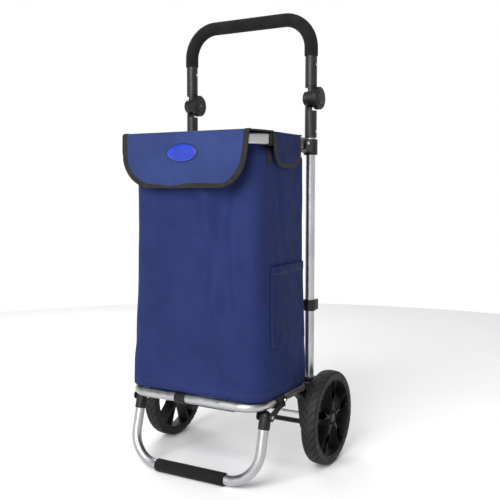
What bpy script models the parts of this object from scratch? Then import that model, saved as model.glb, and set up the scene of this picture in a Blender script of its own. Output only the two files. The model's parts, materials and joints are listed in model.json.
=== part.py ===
"""Two-wheeled shopping trolley with a folding aluminium frame and a fabric bag.

The trolley stands upright on its wheels and its front leg. +Z is up, the bag and the leg
are at -Y, the uprights and the wheels at +Y. The origin is on the floor, under the middle
of the bounding box. All sizes are in metres.
"""

import math

import bmesh
import bpy
from mathutils import Vector

# ---------------------------------------------------------------- driving dimensions
HALF_DEPTH = 0.192
WHEEL_R = 0.110
WHEEL_X = 0.2206
TYRE_HALF_WIDTH = 0.018
AXLE_Y = HALF_DEPTH - WHEEL_R
AXLE_R = 0.004

UPRIGHT_X = 0.167
UPRIGHT_Y = 0.095
ALU_R = 0.011
ALU_WALL = 0.0015
UPRIGHT_BOTTOM = 0.166
UPRIGHT_TOP = 0.800

ARM_R = 0.014
KNUCKLE_Z = 0.857
HUB_R = 0.0170
NECK_R = 0.0205
DISC_R = 0.0263
DISC_FACE = 0.0260
HUB_GAP = 0.0282
WELL_R = 0.0185
WELL_FLOOR = 0.0085
HANDLE_TOP = 1.044
HANDLE_BEND = 0.070
FOAM_R = 0.0158
FOAM_BOTTOM = 0.955
RIVET_Z = 0.935
SLEEVE_BOTTOM = 0.766
SLEEVE_RIVET_Z = 0.781

FRAME_X = 0.167
FRAME_FRONT = -0.163
FRAME_BEND = 0.045
HOOP_BEND = 0.050
BASE_Z = 0.181
BASE_R = 0.0105
BASE_HINGE_Y = 0.067
HOOP_Z = 0.752
HOOP_HINGE_Y = 0.058
HOOP_HALF_WIDTH = 0.007
HOOP_HALF_HEIGHT = 0.0125

LEG_PIVOT = Vector((0.0, -0.124, 0.157))
FOOT = Vector((0.0, -0.163, 0.0145))
LEG_BEND = 0.072
SOCKET_R = 0.0130
SOCKET_LENGTH = 0.0285
PAD_R = 0.0145
PAD_LEFT = -0.095
PAD_RIGHT = 0.089
CLAMP_Y = -0.0725
CLIP_X = -0.0254

BRACE_Z = 0.371
COLLAR_BOTTOM = 0.7265
COLLAR_TOP = 0.7625
COLLAR_R = 0.0162
CHEEK_IN = 0.0075
CHEEK_OUT = 0.0115

BAG_BOTTOM = 0.1932
BOARD_REAR = 0.056
BAG_TOP = 0.762
BAG_WALL = 0.0025
FRONT_CORNER = 0.040
BACK_CORNER = 0.025
COVER_Z = 0.767
COVER_THICK = 0.003
COVER_REAR = 0.050
FLAP_Y = -0.1865
FLAP_THICK = 0.0027
FLAP_BOTTOM = 0.650
FLAP_HALF_WIDTH = 0.1625
FLAP_CORNER = 0.072
TAB_FRONT = -0.110
TAB_REAR = 0.017
TAB_BOTTOM = 0.693
BADGE_Z = 0.7236

GAP = 0.0003
ROUND = 16
BEND_STEPS = 6
X_AXIS = Vector((1, 0, 0))
Y_AXIS = Vector((0, 1, 0))
Z_AXIS = Vector((0, 0, 1))

# ---------------------------------------------------------------- materials
COLOURS = {
    "alloy": ((0.72, 0.73, 0.75), 0.32, 1.0),
    "steel": ((0.62, 0.63, 0.65), 0.25, 1.0),
    "black_tube": ((0.045, 0.045, 0.048), 0.38, 0.3),
    "black_plastic": ((0.018, 0.018, 0.020), 0.45, 0.0),
    "rim_plastic": ((0.030, 0.030, 0.032), 0.50, 0.0),
    "tyre_rubber": ((0.020, 0.020, 0.021), 0.75, 0.0),
    "foam": ((0.014, 0.014, 0.014), 0.95, 0.0),
    "bag_fabric": ((0.030, 0.045, 0.170), 0.75, 0.0),
    "black_webbing": ((0.012, 0.012, 0.012), 0.85, 0.0),
    "board": ((0.05, 0.05, 0.05), 0.7, 0.0),
    "badge_blue": ((0.020, 0.050, 0.600), 0.35, 0.0),
}


def material(name):
    found = bpy.data.materials.get(name)
    if found:
        return found
    colour, roughness, metallic = COLOURS[name]
    made = bpy.data.materials.new(name)
    made.use_nodes = True
    shader = made.node_tree.nodes["Principled BSDF"]
    shader.inputs["Base Color"].default_value = (*colour, 1.0)
    shader.inputs["Roughness"].default_value = roughness
    shader.inputs["Metallic"].default_value = metallic
    return made


# ---------------------------------------------------------------- modelling helpers
def add(name, verts, faces, slot, smooth=True):
    """A mesh object from points and faces, with its faces pointing out."""
    mesh = bpy.data.meshes.new(name)
    mesh.from_pydata([tuple(v) for v in verts], [], faces)
    body = bmesh.new()
    body.from_mesh(mesh)
    bmesh.ops.recalc_face_normals(body, faces=body.faces)
    body.to_mesh(mesh)
    body.free()
    if smooth:
        mesh.shade_smooth()
        mesh.set_sharp_from_angle(angle=math.radians(35))
    mesh.materials.append(material(slot))
    made = bpy.data.objects.new(name, mesh)
    bpy.context.collection.objects.link(made)
    return made


def boolean(target, tools, operation):
    """Unite or cut the target with the tools, and remove the tools."""
    for tool in tools:
        modifier = target.modifiers.new(operation, "BOOLEAN")
        modifier.operation = operation
        modifier.object = tool
    graph = bpy.context.evaluated_depsgraph_get()
    result = bpy.data.meshes.new_from_object(target.evaluated_get(graph))
    target.modifiers.clear()
    target.data = result
    for tool in tools:
        bpy.data.objects.remove(tool)
    return target


def join(target, *tools):
    return boolean(target, tools, "UNION")


def cut(target, *tools):
    return boolean(target, tools, "DIFFERENCE")


def circle(radius, count=ROUND):
    steps = [2 * math.pi * i / count for i in range(count)]
    return [(radius * math.cos(t), radius * math.sin(t)) for t in steps]


def rounded_rect(half_u, half_v, corner, steps=3):
    """Points round a rectangle with round corners, in order."""
    points = []
    for quarter, (su, sv) in enumerate(((1, 1), (-1, 1), (-1, -1), (1, -1))):
        for i in range(steps + 1):
            turn = math.pi / 2 * (quarter + i / steps)
            u = su * (half_u - corner) + corner * math.cos(turn)
            v = sv * (half_v - corner) + corner * math.sin(turn)
            points.append((u, v))
    return points


def sweep(name, path, normal, section, slot, bore=None):
    """A bar with this section along a flat path, or a tube open at both ends if bore is given."""
    count, loops = len(section), [section] if bore is None else [section, bore]
    verts, faces = [], []
    for loop in loops:
        for i, point in enumerate(path):
            back = (path[i] - path[i - 1]).normalized() if i else None
            ahead = (path[i + 1] - path[i]).normalized() if i + 1 < len(path) else None
            tangent = ((back or ahead) + (ahead or back)).normalized()
            side = normal.cross(tangent).normalized()
            stretch = 1 / tangent.dot(ahead or back)
            verts += [point + side * u * stretch + normal * v for u, v in loop]
    rings = len(path)
    for layer in range(len(loops)):
        first = layer * rings * count
        for i in range(rings - 1):
            for k in range(count):
                a, b = first + i * count + k, first + i * count + (k + 1) % count
                faces.append((a, b, b + count, a + count))
    last = (rings - 1) * count
    if bore is None:
        faces += [tuple(range(count)), tuple(range(last, last + count))]
    else:
        inner = rings * count
        for start in (0, last):
            for k in range(count):
                a, b = start + k, start + (k + 1) % count
                faces.append((a, b, b + inner, a + inner))
    return add(name, verts, faces, slot)


def u_path(half_width, depth, bend, place, start=0.0, steps=BEND_STEPS):
    """A U of two straight arms and two round bends; place turns (across, along) into a point."""
    turns = [math.pi / 2 * i / steps for i in range(steps + 1)]
    left = [(-half_width + bend - bend * math.cos(t), depth - bend + bend * math.sin(t)) for t in turns]
    right = [(half_width - bend + bend * math.sin(t), depth - bend + bend * math.cos(t)) for t in turns]
    points = [(-half_width, start), *left, *right, (half_width, start)]
    return [place(across, along) for across, along in points]


def lathe(name, profile, centre, axis, slot, count=ROUND, closed=False):
    """Turn (along, radius) points about an axis. closed joins the last point to the first."""
    axis = axis.normalized()
    out = axis.orthogonal().normalized()
    side = axis.cross(out)
    verts, rows, faces = [], [], []
    for along, radius in profile:
        if radius == 0:
            rows.append([len(verts)] * count)
            verts.append(centre + axis * along)
            continue
        rows.append(list(range(len(verts), len(verts) + count)))
        verts += [centre + axis * along + out * u + side * v for u, v in circle(radius, count)]
    pairs = list(zip(rows, rows[1:])) + ([(rows[-1], rows[0])] if closed else [])
    for low, high in pairs:
        for k in range(count):
            m = (k + 1) % count
            corners = []
            for v in (low[k], low[m], high[m], high[k]):
                if v not in corners:
                    corners.append(v)
            if len(corners) > 2:
                faces.append(tuple(corners))
    return add(name, verts, faces, slot)


def rod(name, radius, start, end, centre, axis, slot, count=ROUND):
    profile = [(start, 0), (start, radius), (end, radius), (end, 0)]
    return lathe(name, profile, centre, axis, slot, count)


def tube(name, radius, bore, start, end, centre, axis, slot, count=ROUND):
    profile = [(start, radius), (end, radius), (end, bore), (start, bore)]
    return lathe(name, profile, centre, axis, slot, count, closed=True)


def prism(name, outline, low, high, place, slot):
    """Extrude a flat outline between two levels; place turns (u, v, level) into a point."""
    count = len(outline)
    verts = [place(u, v, level) for level in (low, high) for u, v in outline]
    faces = [tuple(range(count)), tuple(range(count, 2 * count))]
    faces += [(k, (k + 1) % count, (k + 1) % count + count, k + count) for k in range(count)]
    return add(name, verts, faces, slot, smooth=False)


def side_plate(name, outline, x_low, x_high, slot):
    """A plate seen from the side: an outline in Y and Z, with its thickness along X."""
    return prism(name, outline, x_low, x_high, lambda y, z, x: Vector((x, y, z)), slot)


def box(name, low, high, slot):
    outline = [(low[1], low[2]), (high[1], low[2]), (high[1], high[2]), (low[1], high[2])]
    return side_plate(name, outline, low[0], high[0], slot)


def arc(centre, radius, start, end, steps=6):
    """Points of an arc in a plane, from one angle to another in degrees."""
    turns = [math.radians(start + (end - start) * i / steps) for i in range(steps + 1)]
    return [(centre[0] + radius * math.cos(t), centre[1] + radius * math.sin(t)) for t in turns]


SIDES = (("left", -1), ("right", 1))


# ---------------------------------------------------------------- uprights and their fittings
def make_upright(side, sign):
    centre = Vector((sign * UPRIGHT_X, UPRIGHT_Y, 0))
    upright = tube(
        f"upright_{side}", ALU_R, ALU_R - ALU_WALL, UPRIGHT_BOTTOM, UPRIGHT_TOP, centre, Z_AXIS, "alloy"
    )
    hole = rod("hole", 0.0022, 0.004, 0.020, centre + Z_AXIS * SLEEVE_RIVET_Z, X_AXIS, "alloy", 8)
    cut(upright, hole)


def make_collar(side, sign):
    """A ring on the upright with a fork in front, whose cheeks hold the end of the hoop."""
    x = sign * UPRIGHT_X
    centre = Vector((x, UPRIGHT_Y, 0))
    collar = rod(f"collar_{side}", COLLAR_R, COLLAR_BOTTOM, COLLAR_TOP, centre, Z_AXIS, "black_plastic")
    top, bottom = HOOP_Z + 0.010, COLLAR_BOTTOM + 0.002
    nose = arc((HOOP_HINGE_Y, HOOP_Z), 0.010, 90, 180, 3)
    outline = [(UPRIGHT_Y, top), *nose, (HOOP_HINGE_Y - 0.010, HOOP_Z - 0.014), (UPRIGHT_Y - 0.010, bottom)]
    outline.append((UPRIGHT_Y, bottom))
    fork = side_plate("fork", outline, x - CHEEK_OUT, x + CHEEK_OUT, "black_plastic")
    join(collar, fork)
    slot_top = Vector((x + CHEEK_IN, UPRIGHT_Y - COLLAR_R - 0.001, COLLAR_TOP + 0.01))
    shelf = HOOP_Z - HOOP_HALF_HEIGHT - GAP
    slot = box("slot", (x - CHEEK_IN, 0.02, shelf), slot_top, "black_plastic")
    room = box("room", (x - CHEEK_IN, HOOP_HINGE_Y - 0.008, shelf - 0.0015), slot_top, "black_plastic")
    bore = rod("bore", ALU_R + GAP, 0.70, 0.80, centre, Z_AXIS, "black_plastic")
    pivot = Vector((x, HOOP_HINGE_Y, HOOP_Z))
    hole = rod("hole", 0.0025 + GAP, -0.02, 0.02, pivot, X_AXIS, "black_plastic", 12)
    cut(collar, slot, room, bore, hole)
    end = CHEEK_OUT + GAP
    profile = [(-end - 0.0015, 0), (-end - 0.0015, 0.003), (-end, 0.0042), (-end, 0.0025)]
    profile += [(end, 0.0025), (end, 0.0042), (end + 0.0015, 0.003), (end + 0.0015, 0)]
    lathe(f"hoop_pin_{side}", profile, pivot, X_AXIS, "steel", 12)


def make_mid_brace():
    """A cross tube behind the bag, moulded in one with a clamp round each upright."""
    middle = Vector((0, UPRIGHT_Y, BRACE_Z))
    reach = UPRIGHT_X - 0.012
    brace = rod("mid_brace", 0.0085, -reach, reach, middle, X_AXIS, "black_plastic")
    for _, sign in SIDES:
        centre = Vector((sign * UPRIGHT_X, UPRIGHT_Y, BRACE_Z))
        join(brace, rod("clamp", 0.0145, -0.013, 0.013, centre, Z_AXIS, "black_plastic"))
        ear_low = centre + Vector((sign * 0.0115 - 0.0025, 0.004, -0.011))
        ear_high = centre + Vector((sign * 0.0115 + 0.0025, 0.018, 0.0135))
        join(brace, box("ear", ear_low, ear_high, "black_plastic"))
        cut(brace, rod("bore", ALU_R + GAP, -0.03, 0.03, centre, Z_AXIS, "black_plastic"))


def make_rear_bracket(side, sign):
    """Moulding at the foot of an upright: axle hole, step bar hole, base hinge fork and stop."""
    x = sign * UPRIGHT_X
    web = [(BASE_HINGE_Y - 0.040, BASE_Z - BASE_R - 0.001), (0.053, 0.150), (0.063, 0.110)]
    web += arc((AXLE_Y, 0.087), 0.015, 180, 360, 6)
    web += [(0.1105, 0.130), (0.1105, 0.197), (0.0785, 0.197), (0.0785, BASE_Z - BASE_R - 0.001)]
    bracket = side_plate(f"rear_bracket_{side}", web, x - 0.0112, x + 0.0112, "black_plastic")
    cheek = [(0.055, 0.155), (0.105, 0.150), (0.1105, 0.1915), (0.067, 0.1915)]
    cheek += arc((BASE_HINGE_Y, BASE_Z), 0.0105, 90, 200, 5)
    for x_low, x_high in ((x - 0.0150, x - 0.0108), (x + 0.0108, x + 0.0150)):
        join(bracket, side_plate("cheek", cheek, x_low, x_high, "black_plastic"))
    foot = Vector((x, UPRIGHT_Y, 0))
    join(bracket, rod("socket", 0.0155, 0.150, 0.1965, foot, Z_AXIS, "black_plastic"))
    axle = Vector((x, AXLE_Y, WHEEL_R))
    hinge = Vector((x, BASE_HINGE_Y, BASE_Z))
    under_arm = BASE_Z - BASE_R - 0.0007
    cut(
        bracket,
        rod("seat", ALU_R + GAP, UPRIGHT_BOTTOM - GAP, 0.25, foot, Z_AXIS, "black_plastic"),
        rod("axle_hole", AXLE_R + GAP, -0.03, 0.03, axle, X_AXIS, "black_plastic"),
        rod("bar_hole", 0.0060 + GAP, -0.03, 0.03, axle - Z_AXIS * 0.022, X_AXIS, "black_plastic"),
        rod("pin_hole", 0.0030 + GAP, -0.03, 0.03, hinge, X_AXIS, "black_plastic"),
        box("arm_room", (x - 0.0108, 0.0, under_arm), (x + 0.0108, 0.0787, 0.21), "black_plastic"),
    )


def make_step_bar(side, sign):
    """A black bar fixed in the rear bracket just under the axle, ending in a round nose."""
    inner, outer = 0.0315, UPRIGHT_X + 0.010
    profile = [(inner, 0), (inner + 0.001, 0.004), (inner + 0.003, 0.006), (outer, 0.006), (outer, 0)]
    centre = Vector((0, AXLE_Y, WHEEL_R - 0.022))
    lathe(f"step_bar_{side}", profile, centre, X_AXIS * sign, "black_tube", 12)


# ---------------------------------------------------------------- handle
def make_lower_arm(side, sign):
    """Black sleeve on top of an upright, with the fixed half of the tilt joint."""
    x = sign * UPRIGHT_X
    centre = Vector((x, UPRIGHT_Y, 0))
    knuckle = centre + Z_AXIS * KNUCKLE_Z
    arm = rod(f"lower_arm_{side}", ARM_R, SLEEVE_BOTTOM, KNUCKLE_Z, centre, Z_AXIS, "black_tube")
    split = KNUCKLE_Z - HUB_GAP
    cut(arm, box("half", (x - 0.0025, 0, split), (x + 0.1, 0.2, KNUCKLE_Z + 0.1), "black_tube"))
    profile = [(-0.0145, 0), (-0.0145, HUB_R - 0.0015), (-0.0130, HUB_R), (-0.0025, HUB_R), (-0.0025, 0)]
    join(arm, lathe("hub", profile, knuckle, X_AXIS, "black_tube", 24))
    cut(
        arm,
        rod("bore", ALU_R + GAP, 0.70, UPRIGHT_TOP + 0.002, centre, Z_AXIS, "black_tube"),
        rod("bolt_hole", 0.0030 + GAP, -0.03, 0.03, knuckle, X_AXIS, "black_tube", 12),
        rod("rivet_hole", 0.0022, 0.004, 0.02, centre + Z_AXIS * SLEEVE_RIVET_Z, X_AXIS, "black_tube", 8),
    )


def make_hub_upper(side, sign):
    """Moving half of the tilt joint: a hub, the round button housing, and a plug for the handle."""
    x = sign * UPRIGHT_X
    knuckle = Vector((x, UPRIGHT_Y, KNUCKLE_Z))
    outline = [(-0.0020, 0), (-0.0020, NECK_R), (0.0128, NECK_R), (0.0128, DISC_R)]
    outline += [(DISC_FACE - 0.0020, DISC_R), (DISC_FACE, DISC_R - 0.0020)]
    outline += [(DISC_FACE, WELL_R), (WELL_FLOOR, WELL_R), (WELL_FLOOR, 0)]
    hub = lathe(f"hub_upper_{side}", outline, knuckle, X_AXIS, "black_plastic", 24)
    neck = rod("neck", ARM_R, 0.0, HUB_GAP, knuckle, Z_AXIS, "black_plastic")
    room = box("room", (x - 0.1, 0, 0.8), (x - 0.0020, 0.2, KNUCKLE_Z + HUB_GAP - 0.0030), "black_plastic")
    cut(neck, room, rod("well", WELL_R, WELL_FLOOR, 0.03, knuckle, X_AXIS, "black_plastic", 24))
    plug_top = RIVET_Z + 0.010 - KNUCKLE_Z
    plug = rod("plug", ARM_R - ALU_WALL - GAP, HUB_GAP - 0.002, plug_top, knuckle, Z_AXIS, "black_plastic")
    join(hub, neck, plug)
    rivet = Vector((x, UPRIGHT_Y, RIVET_Z))
    cut(
        hub,
        rod("bolt_hole", 0.0030 + GAP, -0.03, 0.03, knuckle, X_AXIS, "black_plastic", 12),
        rod("rivet_hole", 0.0022, 0.004, 0.02, rivet, X_AXIS, "black_plastic", 8),
    )


def make_handle():
    def place(across, along):
        return Vector((across, UPRIGHT_Y, KNUCKLE_Z + along))

    depth = HANDLE_TOP - KNUCKLE_Z
    path = u_path(UPRIGHT_X, depth, HANDLE_BEND, place, HUB_GAP + GAP)
    handle = sweep("handle_tube", path, Y_AXIS, circle(ARM_R), "black_tube", circle(ARM_R - ALU_WALL))
    for _, sign in SIDES:
        centre = Vector((sign * UPRIGHT_X, UPRIGHT_Y, RIVET_Z))
        cut(handle, rod("rivet_hole", 0.0022, 0.008, 0.02, centre, X_AXIS, "black_tube", 8))
    path = u_path(UPRIGHT_X, depth, HANDLE_BEND, place, FOAM_BOTTOM - KNUCKLE_Z)
    sweep("foam_grip", path, Y_AXIS, circle(FOAM_R), "foam", circle(ARM_R + GAP))


def make_rivet(name, centre):
    """Blind rivet with a domed head, its shank along X in a hole of its own."""
    profile = [(0.0060, 0), (0.0060, 0.0019), (ARM_R + GAP, 0.0019), (ARM_R + GAP, 0.0036)]
    profile += [(ARM_R + 0.0012, 0.0030), (ARM_R + 0.0018, 0)]
    lathe(name, profile, centre, X_AXIS, "steel", 10)


def make_knuckle_parts(side, sign):
    knuckle = Vector((sign * UPRIGHT_X, UPRIGHT_Y, KNUCKLE_Z))
    bolt = [(-0.0178, 0), (-0.0178, 0.0045), (-0.0160, 0.0070), (-0.0148, 0.0070), (-0.0148, 0.003)]
    bolt += [(DISC_FACE + 0.0005, 0.003), (DISC_FACE + 0.0005, 0)]
    lathe(f"pivot_bolt_{side}", bolt, knuckle, X_AXIS, "steel", 12)
    back, front = DISC_FACE - 0.0065, DISC_FACE + 0.0020
    button = [(back, 0.0034), (back, 0.0180), (front - 0.0015, 0.0180), (front, 0.0165)]
    button += [(front - 0.0007, 0.0120), (front, 0.0085), (front, 0.0034)]
    lathe(f"release_button_{side}", button, knuckle, X_AXIS, "black_plastic", 24, closed=True)
    turns, wire, radius, start, end = 3, 0.0007, 0.0085, WELL_FLOOR + 0.0012, DISC_FACE - 0.0075
    steps = 9 * turns
    path = []
    for i in range(steps + 1):
        turn = 2 * math.pi * turns * i / steps
        across = Vector((0, math.cos(turn), math.sin(turn))) * radius
        path.append(knuckle + across + X_AXIS * (start + (end - start) * i / steps))
    coil_along(f"button_spring_{side}", path, knuckle, wire)


def coil_along(name, path, centre, wire, count=5):
    """Round wire along a coil about an X axis through centre, with flat ends."""
    verts, faces = [], []
    for i, point in enumerate(path):
        tangent = (path[min(i + 1, len(path) - 1)] - path[max(i - 1, 0)]).normalized()
        out = point - centre
        out = (out - X_AXIS * out.dot(X_AXIS)).normalized()
        side = tangent.cross(out).normalized()
        verts += [point + out * u + side * v for u, v in circle(wire, count)]
    for i in range(len(path) - 1):
        for k in range(count):
            a, b = i * count + k, i * count + (k + 1) % count
            faces.append((a, b, b + count, a + count))
    last = (len(path) - 1) * count
    faces += [tuple(range(count)), tuple(range(last, last + count))]
    add(name, verts, faces, "steel")


# ---------------------------------------------------------------- wheels
def make_wheel(side, sign):
    centre = Vector((sign * WHEEL_X, AXLE_Y, WHEEL_R))
    outward = X_AXIS * sign
    half = TYRE_HALF_WIDTH
    outside = [(half, 0.0925), (half, 0.1035), (half - 0.0025, 0.1075), (half - 0.008, 0.1092)]
    profile = outside + [(0, WHEEL_R)] + [(-along, radius) for along, radius in reversed(outside)]
    lathe(f"tyre_{side}", profile, centre, outward, "tyre_rubber", 48, closed=True)
    ring = [(half - 0.001, 0.0880), (half - 0.001, 0.0922), (0.001 - half, 0.0922), (0.001 - half, 0.0880)]
    rim = lathe(f"rim_{side}", ring, centre, outward, "rim_plastic", 40, closed=True)
    hub = [(-0.0361, 0), (-0.0361, 0.0140), (-half, 0.0140), (-half + 0.002, 0.0200), (0.0135, 0.0200)]
    hub += [(0.0135, 0.0150), (0.0110, 0.0140), (0.0110, 0)]
    join(rim, lathe("hub", hub, centre, outward, "rim_plastic", 20))
    join(rim, *[make_spoke(centre, outward, 2 * math.pi * i / 5) for i in range(5)])
    cut(rim, rod("bore", AXLE_R + GAP, -0.05, 0.05, centre, outward, "rim_plastic", 12))


def make_spoke(centre, outward, angle):
    """A spoke that runs straight from the hub and then splits into a Y up to the rim."""
    stem, fork, reach, spread, width = 0.016, 0.030, 0.0895, 0.0130, 0.0038
    outline = [(stem, -width), (fork, -width), (reach, -spread - width), (reach, -spread + width)]
    outline += [(fork + 0.010, 0), (reach, spread - width), (reach, spread + width)]
    outline += [(fork, width), (stem, width)]
    up = Vector((0, -math.sin(angle), math.cos(angle)))
    across = outward.cross(up)

    def place(along, over, level):
        return centre + up * along + across * over + outward * level

    return prism("spoke", outline, -0.010, 0.011, place, "rim_plastic")


def make_axle():
    reach = WHEEL_X + 0.0135
    rod("axle", AXLE_R, -reach, reach, Vector((0, AXLE_Y, WHEEL_R)), X_AXIS, "steel", 12)
    for side, sign in SIDES:
        centre = Vector((sign * WHEEL_X, AXLE_Y, WHEEL_R))
        cap = [(0.0113, AXLE_R + GAP), (0.0113, 0.0125), (0.0150, 0.0115), (0.0160, 0.0080), (0.0160, 0)]
        cap += [(0.0140, 0), (0.0140, AXLE_R + GAP)]
        lathe(f"axle_cap_{side}", cap, centre, X_AXIS * sign, "black_plastic", 20, closed=True)


# ---------------------------------------------------------------- folding base and front leg
def make_base():
    def place(across, along):
        return Vector((across, BASE_HINGE_Y - along, BASE_Z))

    depth, end = BASE_HINGE_Y - FRAME_FRONT, 0.012
    path = u_path(FRAME_X, depth, FRAME_BEND, place, end)
    sweep("base_frame", path, Z_AXIS, circle(BASE_R), "alloy", circle(BASE_R - ALU_WALL))
    for side, sign in SIDES:
        pivot = Vector((sign * FRAME_X, BASE_HINGE_Y, BASE_Z))
        pin = [(-0.0145, 0), (-0.0145, 0.0030), (-0.0104, 0.0030), (-0.0104, 0.0098), (0.0104, 0.0098)]
        pin += [(0.0104, 0.0030), (0.0145, 0.0030), (0.0145, 0)]
        plug = lathe(f"base_plug_{side}", pin, pivot, X_AXIS, "black_plastic", 20)
        stub = rod("stub", BASE_R - ALU_WALL - GAP, 0.004, 0.026, pivot, -Y_AXIS, "black_plastic", 14)
        collar = rod("shoulder", BASE_R - GAP, 0.004, end - GAP, pivot, -Y_AXIS, "black_plastic", 14)
        join(plug, stub, collar)


def make_front_clip():
    """A ribbed clip round the front of the base tube, left of the middle."""
    low, high, half = 0.0128, 0.0135, 0.0130
    profile = [(-half, low), (-half, BASE_R + GAP), (half, BASE_R + GAP), (half, low)]
    for rib in (0.0096, 0.0048, 0.0, -0.0048, -0.0096):
        profile += [(rib + 0.0016, low), (rib + 0.0010, high), (rib - 0.0010, high), (rib - 0.0016, low)]
    centre = Vector((CLIP_X, FRAME_FRONT, BASE_Z))
    clip = lathe("front_clip", profile, centre, X_AXIS, "black_plastic", ROUND, closed=True)
    under_bag = BAG_BOTTOM - GAP
    cut(clip, box("flat", (CLIP_X - 0.03, -0.2, under_bag), (CLIP_X + 0.03, -0.1, 0.22), "black_plastic"))


def make_leg_bracket(side, sign):
    """Clamp on the arm of the base tube, with a fork that holds the top of the leg."""
    x = sign * FRAME_X
    middle = Vector((x, CLAMP_Y, BASE_Z))
    bracket = rod(f"leg_bracket_{side}", 0.0152, -0.0175, 0.0175, middle, Y_AXIS, "black_plastic")
    pivot_y, pivot_z = LEG_PIVOT.y, LEG_PIVOT.z
    cheek = arc((pivot_y, pivot_z), 0.0100, 120, 300, 6)
    cheek += [(CLAMP_Y - 0.012, BASE_Z - 0.0140), (CLAMP_Y + 0.010, BASE_Z - 0.0135)]
    cheek += [(CLAMP_Y + 0.010, BASE_Z - 0.004), (CLAMP_Y - 0.016, BASE_Z - 0.002)]
    for x_low, x_high in ((x - 0.0174, x - 0.0144), (x + 0.0144, x + 0.0174)):
        join(bracket, side_plate("cheek", cheek, x_low, x_high, "black_plastic"))
    bolt = middle + Y_AXIS * 0.008
    pivot = Vector((x, pivot_y, pivot_z))
    under_bag = BAG_BOTTOM - GAP
    cut(
        bracket,
        box("flat", (x - 0.03, CLAMP_Y - 0.03, under_bag), (x + 0.03, CLAMP_Y + 0.03, 0.25), "black_plastic"),
        rod("bore", BASE_R + GAP, -0.03, 0.03, middle, Y_AXIS, "black_plastic"),
        rod("pin_hole", 0.0025 + GAP, -0.03, 0.03, pivot, X_AXIS, "black_plastic", 12),
        rod("bolt_hole", 0.0022, 0.0, 0.03, bolt, X_AXIS * sign, "black_plastic", 10),
    )
    head = [(0.0112, 0), (0.0112, 0.0019), (0.0176, 0.0019), (0.0176, 0.0042)]
    head += [(0.0196, 0.0036), (0.0200, 0)]
    lathe(f"bracket_bolt_{side}", head, bolt, X_AXIS * sign, "steel", 12)


def make_leg():
    down = (FOOT - LEG_PIVOT).normalized()
    plane = X_AXIS.cross(down)
    length = (FOOT - LEG_PIVOT).length

    def place(across, along):
        return LEG_PIVOT + X_AXIS * across + down * along

    path = u_path(FRAME_X, length, LEG_BEND, place, 0.010)
    sweep("leg_tube", path, plane, circle(ALU_R), "alloy", circle(ALU_R - ALU_WALL))
    for side, sign in SIDES:
        pivot = LEG_PIVOT + X_AXIS * sign * FRAME_X
        profile = [(-along, radius) for along, radius in arc((0, 0), SOCKET_R, 0, 90, 5)]
        profile += [(SOCKET_LENGTH - 0.001, SOCKET_R), (SOCKET_LENGTH, SOCKET_R - 0.0005)]
        profile += [(SOCKET_LENGTH, ALU_R + GAP), (0.0097, ALU_R + GAP), (0.0097, 0)]
        socket = lathe(f"leg_socket_{side}", profile, pivot, down, "black_plastic")
        cut(socket, rod("pin_hole", 0.0025 + GAP, -0.03, 0.03, pivot, X_AXIS, "black_plastic", 12))
        end = 0.0177
        pin = [(-end - 0.0015, 0), (-end - 0.0015, 0.003), (-end, 0.0042), (-end, 0.0025)]
        pin += [(end, 0.0025), (end, 0.0042), (end + 0.0015, 0.003), (end + 0.0015, 0)]
        lathe(f"leg_pin_{side}", pin, pivot, X_AXIS, "steel", 12)
    profile = [(PAD_LEFT, ALU_R + GAP), (PAD_LEFT, PAD_R - 0.002), (PAD_LEFT + 0.003, PAD_R)]
    profile += [(PAD_RIGHT - 0.003, PAD_R), (PAD_RIGHT, PAD_R - 0.002), (PAD_RIGHT, ALU_R + GAP)]
    if LEG_BEND > FRAME_X + PAD_LEFT:
        raise ValueError("the foot pad must end before the bend of the leg")
    lathe("foot_pad", profile, FOOT, X_AXIS, "foam", ROUND, closed=True)


# ---------------------------------------------------------------- bag
def bag_ring(half_width, front, back, inset=0.0, steps=4):
    """Points round the bag at one height, rounder at its front corners than at its back ones."""
    points = []
    for quarter, edge, corner in ((3, front, FRONT_CORNER), (0, back, -BACK_CORNER)):
        radius = abs(corner) - inset
        centre = (half_width - abs(corner), edge + corner)
        points += arc(centre, radius, 90 * quarter, 90 * quarter + 90, steps)
    return points + [(-across, along) for across, along in reversed(points)]


BAG_LEVELS = (
    # height, half width, front, back
    (BAG_BOTTOM, 0.1770, -0.1650, 0.0690),
    (0.235, 0.1770, -0.1620, 0.0710),
    (0.300, 0.1735, -0.1590, 0.0730),
    (0.450, 0.1685, -0.1580, 0.0750),
    (0.600, 0.1675, -0.1580, 0.0750),
    (0.715, 0.1668, -0.1580, 0.0740),
    (0.7370, 0.1545, -0.1545, 0.0600),
    (BAG_TOP, 0.1545, -0.1540, 0.0600),
)


def make_bag():
    count, verts, faces = 0, [], []
    outer = [(z, bag_ring(w, f, b)) for z, w, f, b in BAG_LEVELS]
    floor = BAG_BOTTOM + BAG_WALL
    inner = [(max(z, floor), bag_ring(w, f, b, BAG_WALL)) for z, w, f, b in reversed(BAG_LEVELS)]
    for z, ring in outer + inner:
        count = len(ring)
        verts += [Vector((x, y, z)) for x, y in ring]
    rings = len(outer) + len(inner)
    for i in range(rings - 1):
        for k in range(count):
            a, b = i * count + k, i * count + (k + 1) % count
            faces.append((a, b, b + count, a + count))
    faces += [tuple(range(count)), tuple(range((rings - 1) * count, rings * count))]
    add("bag_body", verts, faces, "bag_fabric")
    low = BAG_BOTTOM + BAG_WALL + GAP
    outline = bag_ring(0.166, -0.154, BOARD_REAR)
    prism("base_board", outline, low, low + 0.003, lambda x, y, z: Vector((x, y, z)), "board")


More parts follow.
